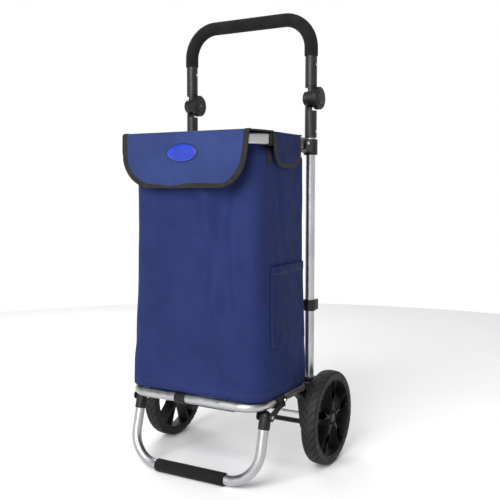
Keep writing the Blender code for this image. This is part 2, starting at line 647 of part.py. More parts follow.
def make_cover():
    """The lid: a flat top with a tab that hangs over the hoop on each side."""
    edge, half = FLAP_Y + 0.0005, 0.1795
    right = [(FLAP_HALF_WIDTH, edge), (0.171, edge + 0.022), (half, TAB_FRONT - 0.001)]
    right += [(half, TAB_REAR), (0.168, COVER_REAR)]
    outline = right + [(-x, y) for x, y in reversed(right)]
    top = COVER_Z + COVER_THICK
    cover = prism("bag_cover", outline, COVER_Z, top, lambda x, y, z: Vector((x, y, z)), "bag_fabric")
    front, rear = 0.044, 0.042
    tab = [(TAB_FRONT, top), *arc((TAB_FRONT + front, TAB_BOTTOM + front), front, 180, 270, 4)]
    tab += [*arc((TAB_REAR - rear, TAB_BOTTOM + rear), rear, 270, 360, 4), (TAB_REAR, top)]
    for _, sign in SIDES:
        low, high = sorted((sign * (half - COVER_THICK), sign * half))
        join(cover, side_plate("tab", tab, low, high, "bag_fabric"))


def make_flap():
    flat = 0.085
    low = arc((flat, FLAP_BOTTOM + FLAP_CORNER), FLAP_CORNER, 270, 360, 7)
    right = low + [(FLAP_HALF_WIDTH, COVER_Z - GAP)]
    outline = right + [(-x, z) for x, z in reversed(right)]
    front = FLAP_Y - FLAP_THICK
    prism("front_flap", outline, front, FLAP_Y, lambda x, z, y: Vector((x, y, z)), "bag_fabric")
    oval = [(0.041 * u, BADGE_Z + 0.020 * v) for u, v in circle(1, 24)]
    face = front - GAP
    prism("badge", oval, -HALF_DEPTH, face, lambda x, z, y: Vector((x, y, z)), "badge_blue")


def make_pocket():
    """A flat pocket sewn on the right side of the bag, open at the top and towards the bag."""
    inner, outer, front, back, low, high = 0.1752, 0.1840, -0.108, 0.056, 0.300, 0.482
    wall = 0.0020
    pocket = box("side_pocket", (inner, front, low), (outer, back, high), "bag_fabric")
    room_low = (inner - 0.01, front + wall, low + wall)
    cut(pocket, box("room", room_low, (outer - wall, back - wall, high + 0.01), "bag_fabric"))


def make_hoop():
    def place(across, along):
        return Vector((across, HOOP_HINGE_Y - along, HOOP_Z))

    depth = HOOP_HINGE_Y - FRAME_FRONT
    path = u_path(FRAME_X, depth, HOOP_BEND, place, -0.004)
    section = rounded_rect(HOOP_HALF_WIDTH, HOOP_HALF_HEIGHT, 0.004, 2)
    wall = 0.0016
    bore = rounded_rect(HOOP_HALF_WIDTH - wall, HOOP_HALF_HEIGHT - wall, 0.0024, 2)
    hoop = sweep("top_hoop", path, Z_AXIS, section, "alloy", bore)
    for side, sign in SIDES:
        pivot = Vector((sign * FRAME_X, HOOP_HINGE_Y, HOOP_Z))
        cut(hoop, rod("pin_hole", 0.0025 + GAP, -0.02, 0.02, pivot, X_AXIS, "alloy", 12))
        near, far, thick, half = GAP, GAP + 0.0012, 0.001, 0.011
        middle = Vector((sign * FRAME_X, -0.101, HOOP_Z))
        strap = sweep_band(middle, HOOP_HALF_WIDTH + far, HOOP_HALF_HEIGHT + far, half, f"hoop_strap_{side}")
        room = sweep_band(middle, HOOP_HALF_WIDTH + near, HOOP_HALF_HEIGHT + near, half + thick, "room")
        cut(strap, room)


def sweep_band(middle, half_x, half_z, half_y, name):
    low = middle - Vector((half_x, half_y, half_z))
    high = middle + Vector((half_x, half_y, half_z))
    return box(name, low, high, "black_webbing")


# ---------------------------------------------------------------- assembly
MOVING = {
    # empty on the joint's axis: (its place, the pieces that turn or slide with it)
    "wheel_left": ((-WHEEL_X, AXLE_Y, WHEEL_R), ["tyre_left", "rim_left"]),
    "wheel_right": ((WHEEL_X, AXLE_Y, WHEEL_R), ["tyre_right", "rim_right"]),
    "handle": (
        (0, UPRIGHT_Y, KNUCKLE_Z),
        ["handle_tube", "foam_grip", "hub_upper_left", "hub_upper_right"]
        + ["handle_rivet_left", "handle_rivet_right"],
    ),
    "button_left": ((-UPRIGHT_X, UPRIGHT_Y, KNUCKLE_Z), ["release_button_left"]),
    "button_right": ((UPRIGHT_X, UPRIGHT_Y, KNUCKLE_Z), ["release_button_right"]),
    "base": (
        (0, BASE_HINGE_Y, BASE_Z),
        ["base_frame", "base_plug_left", "base_plug_right", "leg_bracket_left", "leg_bracket_right"]
        + ["bracket_bolt_left", "bracket_bolt_right", "leg_pin_left", "leg_pin_right"]
        + ["front_clip", "base_board"],
    ),
    "leg": (tuple(LEG_PIVOT), ["leg_tube", "leg_socket_left", "leg_socket_right", "foot_pad"]),
    "hoop": ((0, HOOP_HINGE_Y, HOOP_Z), ["top_hoop", "hoop_strap_left", "hoop_strap_right"]),
    "cover": ((0, COVER_REAR, COVER_Z + COVER_THICK / 2), ["bag_cover"]),
    "flap": ((0, FLAP_Y, COVER_Z), ["front_flap", "badge"]),
}
CARRIED_BY = {
    "button_left": "handle",
    "button_right": "handle",
    "leg": "base",
    "cover": "hoop",
    "flap": "cover",
}


def hang(body, place, nodes):
    """Put an empty on the joint's axis and hang its pieces on it, their origins on the axis."""
    pivot = Vector(place)
    joint = bpy.data.objects.new(f"{body}_joint", None)
    joint.empty_display_size = 0.03
    joint.location = pivot
    bpy.context.collection.objects.link(joint)
    for node in nodes:
        piece = bpy.data.objects[node]
        for vertex in piece.data.vertices:
            vertex.co -= pivot
        piece.parent = joint
    return joint


def build():
    for old in list(bpy.data.objects):
        bpy.data.objects.remove(old)
    for side, sign in SIDES:
        make_upright(side, sign)
        make_collar(side, sign)
        make_rear_bracket(side, sign)
        make_step_bar(side, sign)
        make_lower_arm(side, sign)
        make_hub_upper(side, sign)
        make_knuckle_parts(side, sign)
        make_rivet(f"handle_rivet_{side}", Vector((sign * UPRIGHT_X, UPRIGHT_Y, RIVET_Z)))
        make_rivet(f"sleeve_rivet_{side}", Vector((sign * UPRIGHT_X, UPRIGHT_Y, SLEEVE_RIVET_Z)))
        make_wheel(side, sign)
        make_leg_bracket(side, sign)
    make_mid_brace()
    make_axle()
    make_handle()
    make_base()
    make_front_clip()
    make_leg()
    make_hoop()
    make_bag()
    make_cover()
    make_flap()
    make_pocket()
    joints = {body: hang(body, place, nodes) for body, (place, nodes) in MOVING.items()}
    for body, carrier in CARRIED_BY.items():
        joints[body].parent = joints[carrier]
        joints[body].location -= Vector(MOVING[carrier][0])


build()
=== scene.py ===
"""Looks of the two-wheeled shopping trolley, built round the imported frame.

Tubes, tyres and rims are rebuilt with finer meshes in the places that the frame gives, the bag
and its lid are made as cloth, and every surface gets a procedural material. Metres, +Z up,
the bag's front at -Y.
"""

import json
import math

import bmesh
import bpy
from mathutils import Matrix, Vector, noise

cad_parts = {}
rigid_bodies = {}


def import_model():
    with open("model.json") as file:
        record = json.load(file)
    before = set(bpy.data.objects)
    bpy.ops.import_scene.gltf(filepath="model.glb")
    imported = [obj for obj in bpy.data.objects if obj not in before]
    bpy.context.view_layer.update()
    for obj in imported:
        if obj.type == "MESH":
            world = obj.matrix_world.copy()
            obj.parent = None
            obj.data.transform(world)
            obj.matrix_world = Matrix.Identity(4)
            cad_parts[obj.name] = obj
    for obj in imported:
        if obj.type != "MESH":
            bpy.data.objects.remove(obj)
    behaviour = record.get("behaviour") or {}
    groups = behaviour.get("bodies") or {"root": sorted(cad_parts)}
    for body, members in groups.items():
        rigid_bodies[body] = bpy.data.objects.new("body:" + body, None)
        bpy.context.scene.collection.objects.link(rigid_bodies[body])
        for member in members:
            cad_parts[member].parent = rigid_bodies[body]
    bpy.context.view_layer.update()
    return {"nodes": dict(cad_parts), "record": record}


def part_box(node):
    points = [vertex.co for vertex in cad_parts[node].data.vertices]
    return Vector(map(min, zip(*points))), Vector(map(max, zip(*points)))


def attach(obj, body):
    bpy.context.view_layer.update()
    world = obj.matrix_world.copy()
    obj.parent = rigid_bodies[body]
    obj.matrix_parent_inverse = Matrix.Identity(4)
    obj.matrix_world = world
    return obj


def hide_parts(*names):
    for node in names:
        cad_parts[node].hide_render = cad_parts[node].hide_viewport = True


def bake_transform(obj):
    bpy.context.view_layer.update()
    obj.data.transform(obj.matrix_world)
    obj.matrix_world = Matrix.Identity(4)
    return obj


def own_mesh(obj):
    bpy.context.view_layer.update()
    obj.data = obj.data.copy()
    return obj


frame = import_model()

X_AXIS = Vector((1, 0, 0))
Y_AXIS = Vector((0, 1, 0))
Z_AXIS = Vector((0, 0, 1))
SIDES = (("left", -1), ("right", 1))

# ---------------------------------------------------------------- sizes, as in the frame
UPRIGHT_X = 0.167
UPRIGHT_Y = 0.095
ALU_R = 0.011
ARM_R = 0.014
FOAM_R = 0.0158
KNUCKLE_Z = 0.857
HANDLE_TOP = 1.044
HANDLE_BEND = 0.070
AXLE_Y = 0.082
WHEEL_R = 0.110
WHEEL_X = 0.2206
TYRE_HALF = 0.018
RIM_R = 0.0922
BASE_Z = 0.181
BASE_R = 0.0105
BASE_HINGE_Y = 0.067
FRAME_FRONT = -0.163
FRAME_BEND = 0.045
HOOP_BEND = 0.050
HOOP_Z = 0.752
HOOP_HINGE_Y = 0.058
HOOP_HALF_WIDTH = 0.007
HOOP_HALF_HEIGHT = 0.0125
LEG_PIVOT = Vector((0.0, -0.124, 0.157))
FOOT = Vector((0.0, -0.163, 0.0145))
LEG_BEND = 0.072
PAD_LEFT = -0.095
PAD_RIGHT = 0.089
PAD_R = 0.0145
BAG_BOTTOM = 0.1932
BAG_TOP = 0.762
COVER_REAR = 0.050
FLAP_BOTTOM = 0.650
FLAP_HALF_WIDTH = 0.1625
BADGE_Z = 0.7236
ROUND = 32
TUBE_WALL = 0.0015


# ---------------------------------------------------------------- material nodes
class Nodes:
    """Short calls for the nodes of one tree."""

    def __init__(self, tree):
        self.tree = tree

    def node(self, kind, **values):
        made = self.tree.nodes.new(kind)
        for key, value in values.items():
            made.inputs[key].default_value = value
        return made

    def link(self, output, target):
        self.tree.links.new(output, target)

    def spread(self, value, low, high, from_low=0.0, from_high=1.0):
        made = self.node("ShaderNodeMapRange")
        ends = {"From Min": from_low, "From Max": from_high, "To Min": low, "To Max": high}
        for key, number in ends.items():
            made.inputs[key].default_value = number
        self.link(value, made.inputs["Value"])
        return made.outputs["Result"]

    def maths(self, kind, operation, first, second, output=0):
        made = self.node(kind)
        made.operation = operation
        for socket, value in zip(made.inputs, (first, second)):
            if isinstance(value, bpy.types.NodeSocket):
                self.link(value, socket)
            else:
                socket.default_value = value
        return made.outputs[output]

    def ramp(self, value, stops, interpolation="LINEAR"):
        """A colour read from a ramp of (place, colour) stops."""
        made = self.node("ShaderNodeValToRGB")
        ramp = made.color_ramp
        ramp.interpolation = interpolation
        for element, (place, colour) in zip(ramp.elements, (stops[0], stops[-1])):
            element.position = place
            element.color = (*colour, 1)
        for place, colour in stops[1:-1]:
            ramp.elements.new(place).color = (*colour, 1)
        self.link(value, made.inputs["Fac"])
        return made.outputs["Color"]


class Surface(Nodes):
    """A Principled material whose colour, roughness and bumps come from procedural nodes."""

    def __init__(self, name, colour, roughness):
        self.material = bpy.data.materials.new(name)
        self.material.use_nodes = True
        super().__init__(self.material.node_tree)
        self.shader = self.tree.nodes["Principled BSDF"]
        self.set("Base Color", (*colour, 1.0))
        self.set("Roughness", roughness)
        self.height = None

    def set(self, socket, value):
        self.shader.inputs[socket].default_value = value

    def place(self, scale=(1, 1, 1), output="Object", turn=(0, 0, 0)):
        """Coordinates stretched by scale: the object's own by default, or UV in metres."""
        source = self.node("ShaderNodeTexCoord")
        mapping = self.node("ShaderNodeMapping", Scale=scale, Rotation=turn)
        self.link(source.outputs[output], mapping.inputs["Vector"])
        return mapping.outputs["Vector"]

    def noise(self, scale, detail=3.0, stretch=(1, 1, 1), rough=0.5):
        made = self.node("ShaderNodeTexNoise", Scale=scale, Detail=detail, Roughness=rough)
        self.link(self.place(stretch), made.inputs["Vector"])
        return made.outputs["Fac"]

    def cells(self, scale):
        made = self.node("ShaderNodeTexVoronoi", Scale=scale)
        self.link(self.place(), made.inputs["Vector"])
        return made.outputs["Distance"]

    def bands(self, per_metre, turn=(0, 0, 0)):
        """Stripes across the UVs, so many to the metre."""
        made = self.node("ShaderNodeTexWave", Scale=per_metre * WAVE_TURNS)
        self.link(self.place(output="UV", turn=turn), made.inputs["Vector"])
        return made.outputs["Fac"]

    def rough(self, value, low, high, from_low=0.3, from_high=0.7):
        self.link(self.spread(value, low, high, from_low, from_high), self.shader.inputs["Roughness"])

    def bump(self, value, strength, distance):
        made = self.node("ShaderNodeBump", Strength=strength, Distance=distance)
        self.link(value, made.inputs["Height"])
        if self.height:
            self.link(self.height, made.inputs["Normal"])
        self.height = made.outputs["Normal"]
        self.link(self.height, self.shader.inputs["Normal"])


WAVE_TURNS = 2 * math.pi / 20
THREADS_PER_M = 760
TAPE_RIBS_PER_M = 620
SOCKETS = {
    "metallic": "Metallic",
    "specular": "Specular IOR Level",
    "sheen": "Sheen Weight",
    "coat": "Coat Weight",
    "coat_roughness": "Coat Roughness",
}


def shade(colour, factor):
    return tuple(channel * factor for channel in colour)


def clouded(name, base, roughness, cloud, tones, gloss=None, pits=None, grains=(), **sockets):
    """A surface with a clouded colour, uneven roughness and fine bumps.

    cloud is the noise behind the colour, and tones its (place, factor or colour) stops. gloss is
    the noise behind the roughness, then its two ends. pits are cells and each grain is a noise,
    both followed by how strong and how deep they are.
    """
    s = Surface(name, base, roughness)
    for socket, value in sockets.items():
        s.set(SOCKETS[socket], value)
    stops = [(place, tone if isinstance(tone, tuple) else shade(base, tone)) for place, tone in tones]
    s.link(s.ramp(s.noise(*cloud), stops), s.shader.inputs["Base Color"])
    if gloss:
        s.rough(s.noise(*gloss[:2]), *gloss[2:])
    if pits:
        s.bump(s.cells(pits[0]), *pits[1:])
    for noise_values, strength, depth in grains:
        s.bump(s.noise(*noise_values), strength, depth)
    return s


def make_alloy():
    """Satin anodised aluminium with fine lines and faint handling marks."""
    lines, marks = ((900, 2, (1, 1, 0.04)), 0.05, 0.0004), ((45, 3), 0.05, 0.0008)
    return clouded("alloy_satin", (0.45, 0.455, 0.465), 0.34, (14, 4), ((0.30, 0.86), (0.70, 1.07)),
                   (60, 5, 0.27, 0.42), grains=(lines, marks), metallic=1.0)


def make_steel():
    return clouded("bright_steel", (0.60, 0.61, 0.62), 0.22, (120, 4), ((0.3, 0.8), (0.7, 1.1)),
                   (200, 4, 0.16, 0.34), grains=(((700, 3), 0.06, 0.0003),), metallic=1.0)


def make_black_tube():
    """Satin powder coat: fine orange peel and slightly paler, rubbed patches."""
    return clouded("black_powder_coat", (0.0085, 0.0085, 0.0089), 0.40, (22, 5), ((0.3, 0.75), (0.72, 1.5)),
                   (90, 4, 0.33, 0.47), grains=(((650, 2), 0.16, 0.0004),), specular=0.35)


def make_black_plastic():
    """Moulded plastic with a fine spark-eroded grain."""
    base = (0.0042, 0.0042, 0.0044)
    return clouded("black_moulded_plastic", base, 0.42, (35, 5), ((0.3, 0.7), (0.75, 1.9)),
                   (160, 4, 0.34, 0.55), (1400, 0.12, 0.0003), (((260, 3), 0.08, 0.0004),), specular=0.30)


def make_rim_plastic():
    return clouded("rim_plastic", (0.0050, 0.0050, 0.0052), 0.50, (28, 5), ((0.3, 0.72), (0.75, 1.6)),
                   (120, 4, 0.42, 0.58), grains=(((500, 3), 0.10, 0.0003),), specular=0.18)


def make_rubber():
    """Tyre rubber: matt, with a little dust."""
    dust = (0.0130, 0.0128, 0.0125)
    return clouded("tyre_rubber", (0.0062, 0.0062, 0.0062), 0.62, (30, 6), ((0.3, 0.8), (0.75, dust)),
                   (80, 5, 0.50, 0.72), grains=(((420, 4), 0.14, 0.0005),), specular=0.30)


def make_foam():
    """Foam sleeve: dull, finely pitted skin."""
    worn = (0.0105, 0.0105, 0.0105)
    return clouded("grip_foam", (0.0058, 0.0058, 0.0058), 0.88, (55, 5), ((0.3, 0.75), (0.75, worn)),
                   (300, 4, 0.80, 0.96), (1500, 0.45, 0.0005), (((120, 4), 0.15, 0.0008),),
                   specular=0.18, sheen=0.03)


def make_cloth(name, base, roughness=0.72, glow=1.20):
    """Coated polyester: plain weave, soft sheen, clouded colour and small creases."""
    s = clouded(name, base, roughness, (9, 5, (1, 1, 1), 0.6), ((0.25, 0.82), (0.5, base), (0.78, glow)),
                (40, 4, roughness - 0.08, roughness + 0.10), sheen=0.03, specular=0.10)
    s.set("Sheen Roughness", 0.45)
    s.set("Sheen Tint", (0.45, 0.55, 1.0, 1.0))
    warp, weft = s.bands(THREADS_PER_M), s.bands(THREADS_PER_M, (0, 0, math.pi / 2))
    s.bump(s.maths("ShaderNodeMath", "MAXIMUM", warp, weft), 0.35, 0.0003)
    s.bump(s.noise(26, 5, rough=0.62), 0.16, 0.003)
    return s


def make_webbing():
    """Woven tape with ribs across it."""
    s = clouded("black_webbing", (0.0085, 0.0082, 0.0070), 0.80, (70, 4), ((0.3, 0.7), (0.75, 2.0)),
                sheen=0.05, specular=0.25)
    s.bump(s.bands(TAPE_RIBS_PER_M), 0.5, 0.0004)
    s.bump(s.noise(900, 2), 0.2, 0.0003)
    return s


def make_thread(colour):
    return clouded("stitch_thread", colour, 0.70, (900, 2), ((0.3, 0.7), (0.7, 1.25)), sheen=0.3)


def make_lining():
    """The coated inside of the bag: dull grey-blue with faint wrinkles."""
    return clouded("bag_lining", (0.020, 0.024, 0.050), 0.55, (20, 5), ((0.3, 0.7), (0.75, 1.4)),
                   (60, 4, 0.45, 0.65), grains=(((60, 5), 0.25, 0.001),))


def make_board():
    base = (0.035, 0.035, 0.038)
    return clouded("base_board_grain", base, 0.7, (40, 5, (1, 6, 1)), ((0.3, 0.7), (0.75, 1.5)),
                   (90, 4, 0.6, 0.8), grains=(((240, 4), 0.3, 0.0004),))


def make_badge_gloss():
    """Domed gloss label in one bright blue."""
    return clouded("badge_gloss_blue", (0.014, 0.034, 0.33), 0.38, (30, 3), ((0.3, 0.85), (0.75, 1.15)),
                   (150, 3, 0.20, 0.32), grains=(((200, 2), 0.04, 0.0004),),
                   specular=0.30, coat=0.15, coat_roughness=0.20)


def make_floor():
    pale, paler = (0.92, 0.92, 0.92), (0.94, 0.94, 0.94)
    return clouded("studio_floor", (0.93, 0.93, 0.93), 0.8, (3, 3), ((0.3, pale), (0.7, paler)))


FRONT_BLUE = (0.0122, 0.0208, 0.085)
# painted shade: a darker copy of the bag's own blue, for the pocket and the lid's side tabs, which face away
# from the light
PAINTED_SHADE_BLUE = (0.0105, 0.0182, 0.076)
# painted light: a lighter copy of the bag's own blue, standing for the light and sheen that the flap catches
PAINTED_LIGHT_FLAP_BLUE = (0.0195, 0.0330, 0.112)
SURFACES = {
    "alloy": make_alloy(),
    "steel": make_steel(),
    "black_tube": make_black_tube(),
    "black_plastic": make_black_plastic(),
    "rim": make_rim_plastic(),
    "rubber": make_rubber(),
    "foam": make_foam(),
    "cloth": make_cloth("bag_polyester", FRONT_BLUE),
    # pocket and lid cloth in the darker blue of painted shade
    "pocket_cloth": make_cloth("pocket_polyester", PAINTED_SHADE_BLUE),
    "lid_cloth": make_cloth("lid_polyester", PAINTED_SHADE_BLUE),
    # flap cloth in the lighter blue of painted light
    "flap_cloth": make_cloth("flap_polyester", PAINTED_LIGHT_FLAP_BLUE, 0.68, 1.28),
    "webbing": make_webbing(),
    "thread": make_thread((0.0150, 0.0250, 0.098)),
    "black_thread": make_thread((0.020, 0.020, 0.018)),
    "lining": make_lining(),
    "board": make_board(),
    "badge": make_badge_gloss(),
    "badge_rim": make_black_plastic(),
    "floor": make_floor(),
}
MATERIALS = {key: surface.material for key, surface in SURFACES.items()}


# ---------------------------------------------------------------- mesh helpers
def add_object(name, data):
    made = bpy.data.objects.new(name, data)
    bpy.context.collection.objects.link(made)
    return made


def piece(name, verts, faces, material, uvs=None, slots=None, sharp=40.0):
    """A smooth mesh object. uvs are per vertex, in metres; slots give a material index per face."""
    mesh = bpy.data.meshes.new(name)
    mesh.from_pydata([tuple(v) for v in verts], [], faces)
    for each in material if isinstance(material, (list, tuple)) else [material]:
        mesh.materials.append(MATERIALS[each])
    if slots is not None:
        mesh.polygons.foreach_set("material_index", slots)
    if uvs is not None:
        layer = mesh.uv_layers.new(name="UVMap")
        for loop in mesh.loops:
            layer.data[loop.index].uv = uvs[loop.vertex_index]
    work = bmesh.new()
    work.from_mesh(mesh)
    bmesh.ops.recalc_face_normals(work, faces=work.faces)
    work.to_mesh(mesh)
    work.free()
    mesh.shade_smooth()
    mesh.set_sharp_from_angle(angle=math.radians(sharp))
    return add_object(name, mesh)


def circle(radius, count=ROUND):
    steps = [2 * math.pi * i / count for i in range(count)]
    return [(radius * math.cos(t), radius * math.sin(t)) for t in steps]


def arc(centre, radius, start, end, steps=6):
    turns = [math.radians(start + (end - start) * i / steps) for i in range(steps + 1)]
    return [(centre[0] + radius * math.cos(t), centre[1] + radius * math.sin(t)) for t in turns]


def rounded_rect(half_u, half_v, corner, steps=5):
    points = []
    for quarter, (su, sv) in enumerate(((1, 1), (-1, 1), (-1, -1), (1, -1))):
        centre = (su * (half_u - corner), sv * (half_v - corner))
        points += arc(centre, corner, 90 * quarter, 90 * quarter + 90, steps)
    return points


def frames(path, normal):
    """Tangent and side at each point of a path that stays in the plane of the normal."""
    for i, point in enumerate(path):
        back = (path[i] - path[i - 1]).normalized() if i else None
        ahead = (path[i + 1] - path[i]).normalized() if i + 1 < len(path) else None
        tangent = ((back or ahead) + (ahead or back)).normalized()
        yield point, tangent, normal.cross(tangent).normalized(), tangent.dot(ahead or back)


def with_lips(path, lip):
    """The path with an extra point close to each end, and how far each ring is drawn in there."""
    first = path[0] + (path[1] - path[0]).normalized() * lip
    last = path[-1] + (path[-2] - path[-1]).normalized() * lip
    return [path[0], first, *path[1:-1], last, path[-1]], {0: lip, len(path) + 1: lip}


def sweep(name, path, normal, section, material, bore=None, lip=0.0006):
    """A tube or bar with slightly rounded ends along a flat path."""
    path, drawn_in = with_lips(path, lip)
    loops = [section] if bore is None else [section, bore]
    count, verts, faces = len(section), [], []
    for number, loop in enumerate(loops):
        for i, (point, _, side, mitre) in enumerate(frames(path, normal)):
            pull = drawn_in.get(i, 0.0) * (1 if number == 0 else -1)
            for u, v in loop:
                shrink = 1 - pull / math.hypot(u, v)
                verts.append(point + side * u * shrink / mitre + normal * v * shrink)
    rings = len(path)
    for number in range(len(loops)):
        faces += grid_faces(rings, count, wrap=True, first=number * rings * count)
    last = (rings - 1) * count
    if bore is None:
        faces += [tuple(range(count)), tuple(range(last, last + count))]
    else:
        for start in (0, last):
            for k in range(count):
                a, b = start + k, start + (k + 1) % count
                faces.append((a, b, b + rings * count, a + rings * count))
    return piece(name, verts, faces, material)


def tube(name, path, normal, radius, material, around=ROUND):
    """A round tube with open ends along a flat path."""
    return sweep(name, path, normal, circle(radius, around), material, circle(radius - TUBE_WALL, around))


def u_path(half_width, depth, bend, origin, along, start=0.0, steps=16):
    """Two legs that run along a direction and are joined across X at its far end."""
    turns = [math.pi / 2 * i / steps for i in range(steps + 1)]
    left = [(-half_width + bend - bend * math.cos(t), depth - bend + bend * math.sin(t)) for t in turns]
    right = [(half_width - bend + bend * math.sin(t), depth - bend + bend * math.cos(t)) for t in turns]
    places = [(-half_width, start), *left, *right, (half_width, start)]
    return [origin + X_AXIS * across + along * run for across, run in places]


def lathe(name, profile, centre, axis, material, count=48, closed=False):
    """Turn (along, radius) points about an axis; closed joins the last point to the first."""
    out = axis.orthogonal().normalized()
    side = axis.cross(out)
    verts, rows, faces = [], [], []
    for along, radius in profile:
        if radius == 0:
            rows.append([len(verts)] * count)
            verts.append(centre + axis * along)
            continue
        rows.append(list(range(len(verts), len(verts) + count)))
        verts += [centre + axis * along + out * u + side * v for u, v in circle(radius, count)]
    for low, high in list(zip(rows, rows[1:])) + ([(rows[-1], rows[0])] if closed else []):
        for k in range(count):
            m = (k + 1) % count
            corners = list(dict.fromkeys((low[k], low[m], high[m], high[k])))
            if len(corners) > 2:
                faces.append(tuple(corners))
    return piece(name, verts, faces, material)


def stand_for(made, body, *nodes):
    """The piece rides on the body in place of the frame's nodes, which are hidden."""
    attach(made, body)
    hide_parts(*nodes)
    return made


def merge(name, pieces):
    """Several pieces as one object."""
    with bpy.context.temp_override(active_object=pieces[0], selected_editable_objects=pieces):
        bpy.ops.object.join()
    pieces[0].name = name
    return pieces[0]


def modifier(made, kind, **values):
    added = made.modifiers.new(kind.lower(), kind)
    for key, value in values.items():
        setattr(added, key, value)
    return added


def thicken(made, thickness):
    """Give a cloth piece its thickness, evenly on both sides."""
    modifier(made, "SOLIDIFY", thickness=thickness, offset=0)


SLOT_OF = {part["node"]: part["material_slot"] for part in frame["record"]["subparts"]}


# ---------------------------------------------------------------- the frame's own nodes
FRAME_FINISH = {
    "alloy": "alloy",
    "steel": "steel",
    "black_tube": "black_tube",
    "black_plastic": "black_plastic",
    "rim_plastic": "rim",
    "tyre_rubber": "rubber",
    "foam": "foam",
    "bag_fabric": "cloth",
    "black_webbing": "webbing",
    "board": "board",
    "badge_blue": "badge",
}
# mouldings whose edges are eased
EASED = (
    "collar", "rear_bracket", "leg_bracket", "mid_brace",
    "hub_upper", "lower_arm", "leg_socket", "base_plug",
)
EASE_ANGLE = math.radians(38)


def finish_frame_nodes():
    for name, node in frame["nodes"].items():
        for slot in node.material_slots:
            slot.link = "OBJECT"
            slot.material = MATERIALS[FRAME_FINISH[SLOT_OF[name]]]
        if name.startswith(EASED):
            modifier(node, "WELD", merge_threshold=0.00002)
            modifier(node, "BEVEL", width=0.0006, segments=2, limit_method="ANGLE", angle_limit=EASE_ANGLE)
            modifier(node, "WEIGHTED_NORMAL", weight=80)


# ---------------------------------------------------------------- tubes
def make_uprights():
    for side, sign in SIDES:
        ends = [Vector((sign * UPRIGHT_X, UPRIGHT_Y, corner[2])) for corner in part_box(f"upright_{side}")]
        upright = tube(f"upright_tube_{side}", ends, Y_AXIS, ALU_R, "alloy")
        stand_for(upright, "chassis", f"upright_{side}")


def make_handle():
    knuckle, rise = Vector((0, UPRIGHT_Y, KNUCKLE_Z)), HANDLE_TOP - KNUCKLE_Z
    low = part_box("handle_tube")[0][2] - KNUCKLE_Z
    path = u_path(UPRIGHT_X, rise, HANDLE_BEND, knuckle, Z_AXIS, low)
    bow = tube("handle_bow", path, Y_AXIS, ARM_R, "black_tube")
    stand_for(bow, "handle", "handle_tube")
    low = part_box("foam_grip")[0][2] - KNUCKLE_Z
    path = u_path(UPRIGHT_X, rise, HANDLE_BEND, knuckle, Z_AXIS, low, 24)
    foam = sweep("handle_foam", path, Y_AXIS, circle(FOAM_R, 40), "foam", circle(ARM_R + 0.0003, 40), 0.0010)
    stand_for(foam, "handle", "foam_grip")


def make_base_tube():
    hinge = Vector((0, BASE_HINGE_Y, BASE_Z))
    path = u_path(UPRIGHT_X, BASE_HINGE_Y - FRAME_FRONT, FRAME_BEND, hinge, -Y_AXIS, 0.012)
    stand_for(tube("base_tube", path, Z_AXIS, BASE_R, "alloy"), "base", "base_frame")


def make_leg():
    down = (FOOT - LEG_PIVOT).normalized()
    path = u_path(UPRIGHT_X, (FOOT - LEG_PIVOT).length, LEG_BEND, LEG_PIVOT, down, 0.010)
    bow = tube("leg_bow", path, X_AXIS.cross(down), ALU_R, "alloy")
    stand_for(bow, "leg", "leg_tube")
    rim = [(0.0, ALU_R + 0.0003), (0.0, PAD_R - 0.0020), (0.0008, PAD_R - 0.0008), (0.0024, PAD_R)]
    pad = [(PAD_LEFT + along, radius) for along, radius in rim]
    pad += [(PAD_RIGHT - along, radius) for along, radius in reversed(rim)]
    foot = lathe("foot_sleeve", pad, FOOT, X_AXIS, "foam", 40, closed=True)
    stand_for(foot, "leg", "foot_pad")


def make_hoop():
    """The flat oval tube round the top of the bag."""
    hinge = Vector((0, HOOP_HINGE_Y, HOOP_Z))
    path = u_path(UPRIGHT_X, HOOP_HINGE_Y - FRAME_FRONT, HOOP_BEND, hinge, -Y_AXIS, -0.004)
    section = rounded_rect(HOOP_HALF_WIDTH, HOOP_HALF_HEIGHT, 0.0045)
    bore = rounded_rect(HOOP_HALF_WIDTH - 0.0016, HOOP_HALF_HEIGHT - 0.0016, 0.0030)
    hoop = sweep("hoop_tube", path, Z_AXIS, section, "alloy", bore)
    stand_for(hoop, "hoop", "top_hoop")


# ---------------------------------------------------------------- wheels
LUGS = 34
GROOVE_DEPTH = 0.0017
LUG_COLUMNS = (0.0, 0.05, 0.17, 0.22, 0.41, 0.61, 0.80)
GROOVE_COLUMNS = (0.05, 0.17)
LUG_SLANT = 1.15
TYRE_HALF_PROFILE = (
    # distance from the middle plane, radius, how deep the grooves cut here
    (0.0, 0.1100, 0.0), (0.0020, 0.1100, 0.0), (0.0026, 0.1099, 0.6), (0.0050, 0.1098, 1.0),
    (0.0080, 0.1095, 1.0), (0.0110, 0.1090, 1.0), (0.0135, 0.1084, 1.0), (0.0155, 0.1074, 1.0),
    (0.0170, 0.1060, 1.0), (0.0178, 0.1042, 0.8), (0.0180, 0.1022, 0.3), (0.0180, 0.1000, 0.0),
    (0.0177, 0.0992, 0.0), (0.0180, 0.0984, 0.0), (0.0179, 0.0956, 0.0), (0.0168, 0.0928, 0.0),
    (0.0140, 0.0925, 0.0),
)


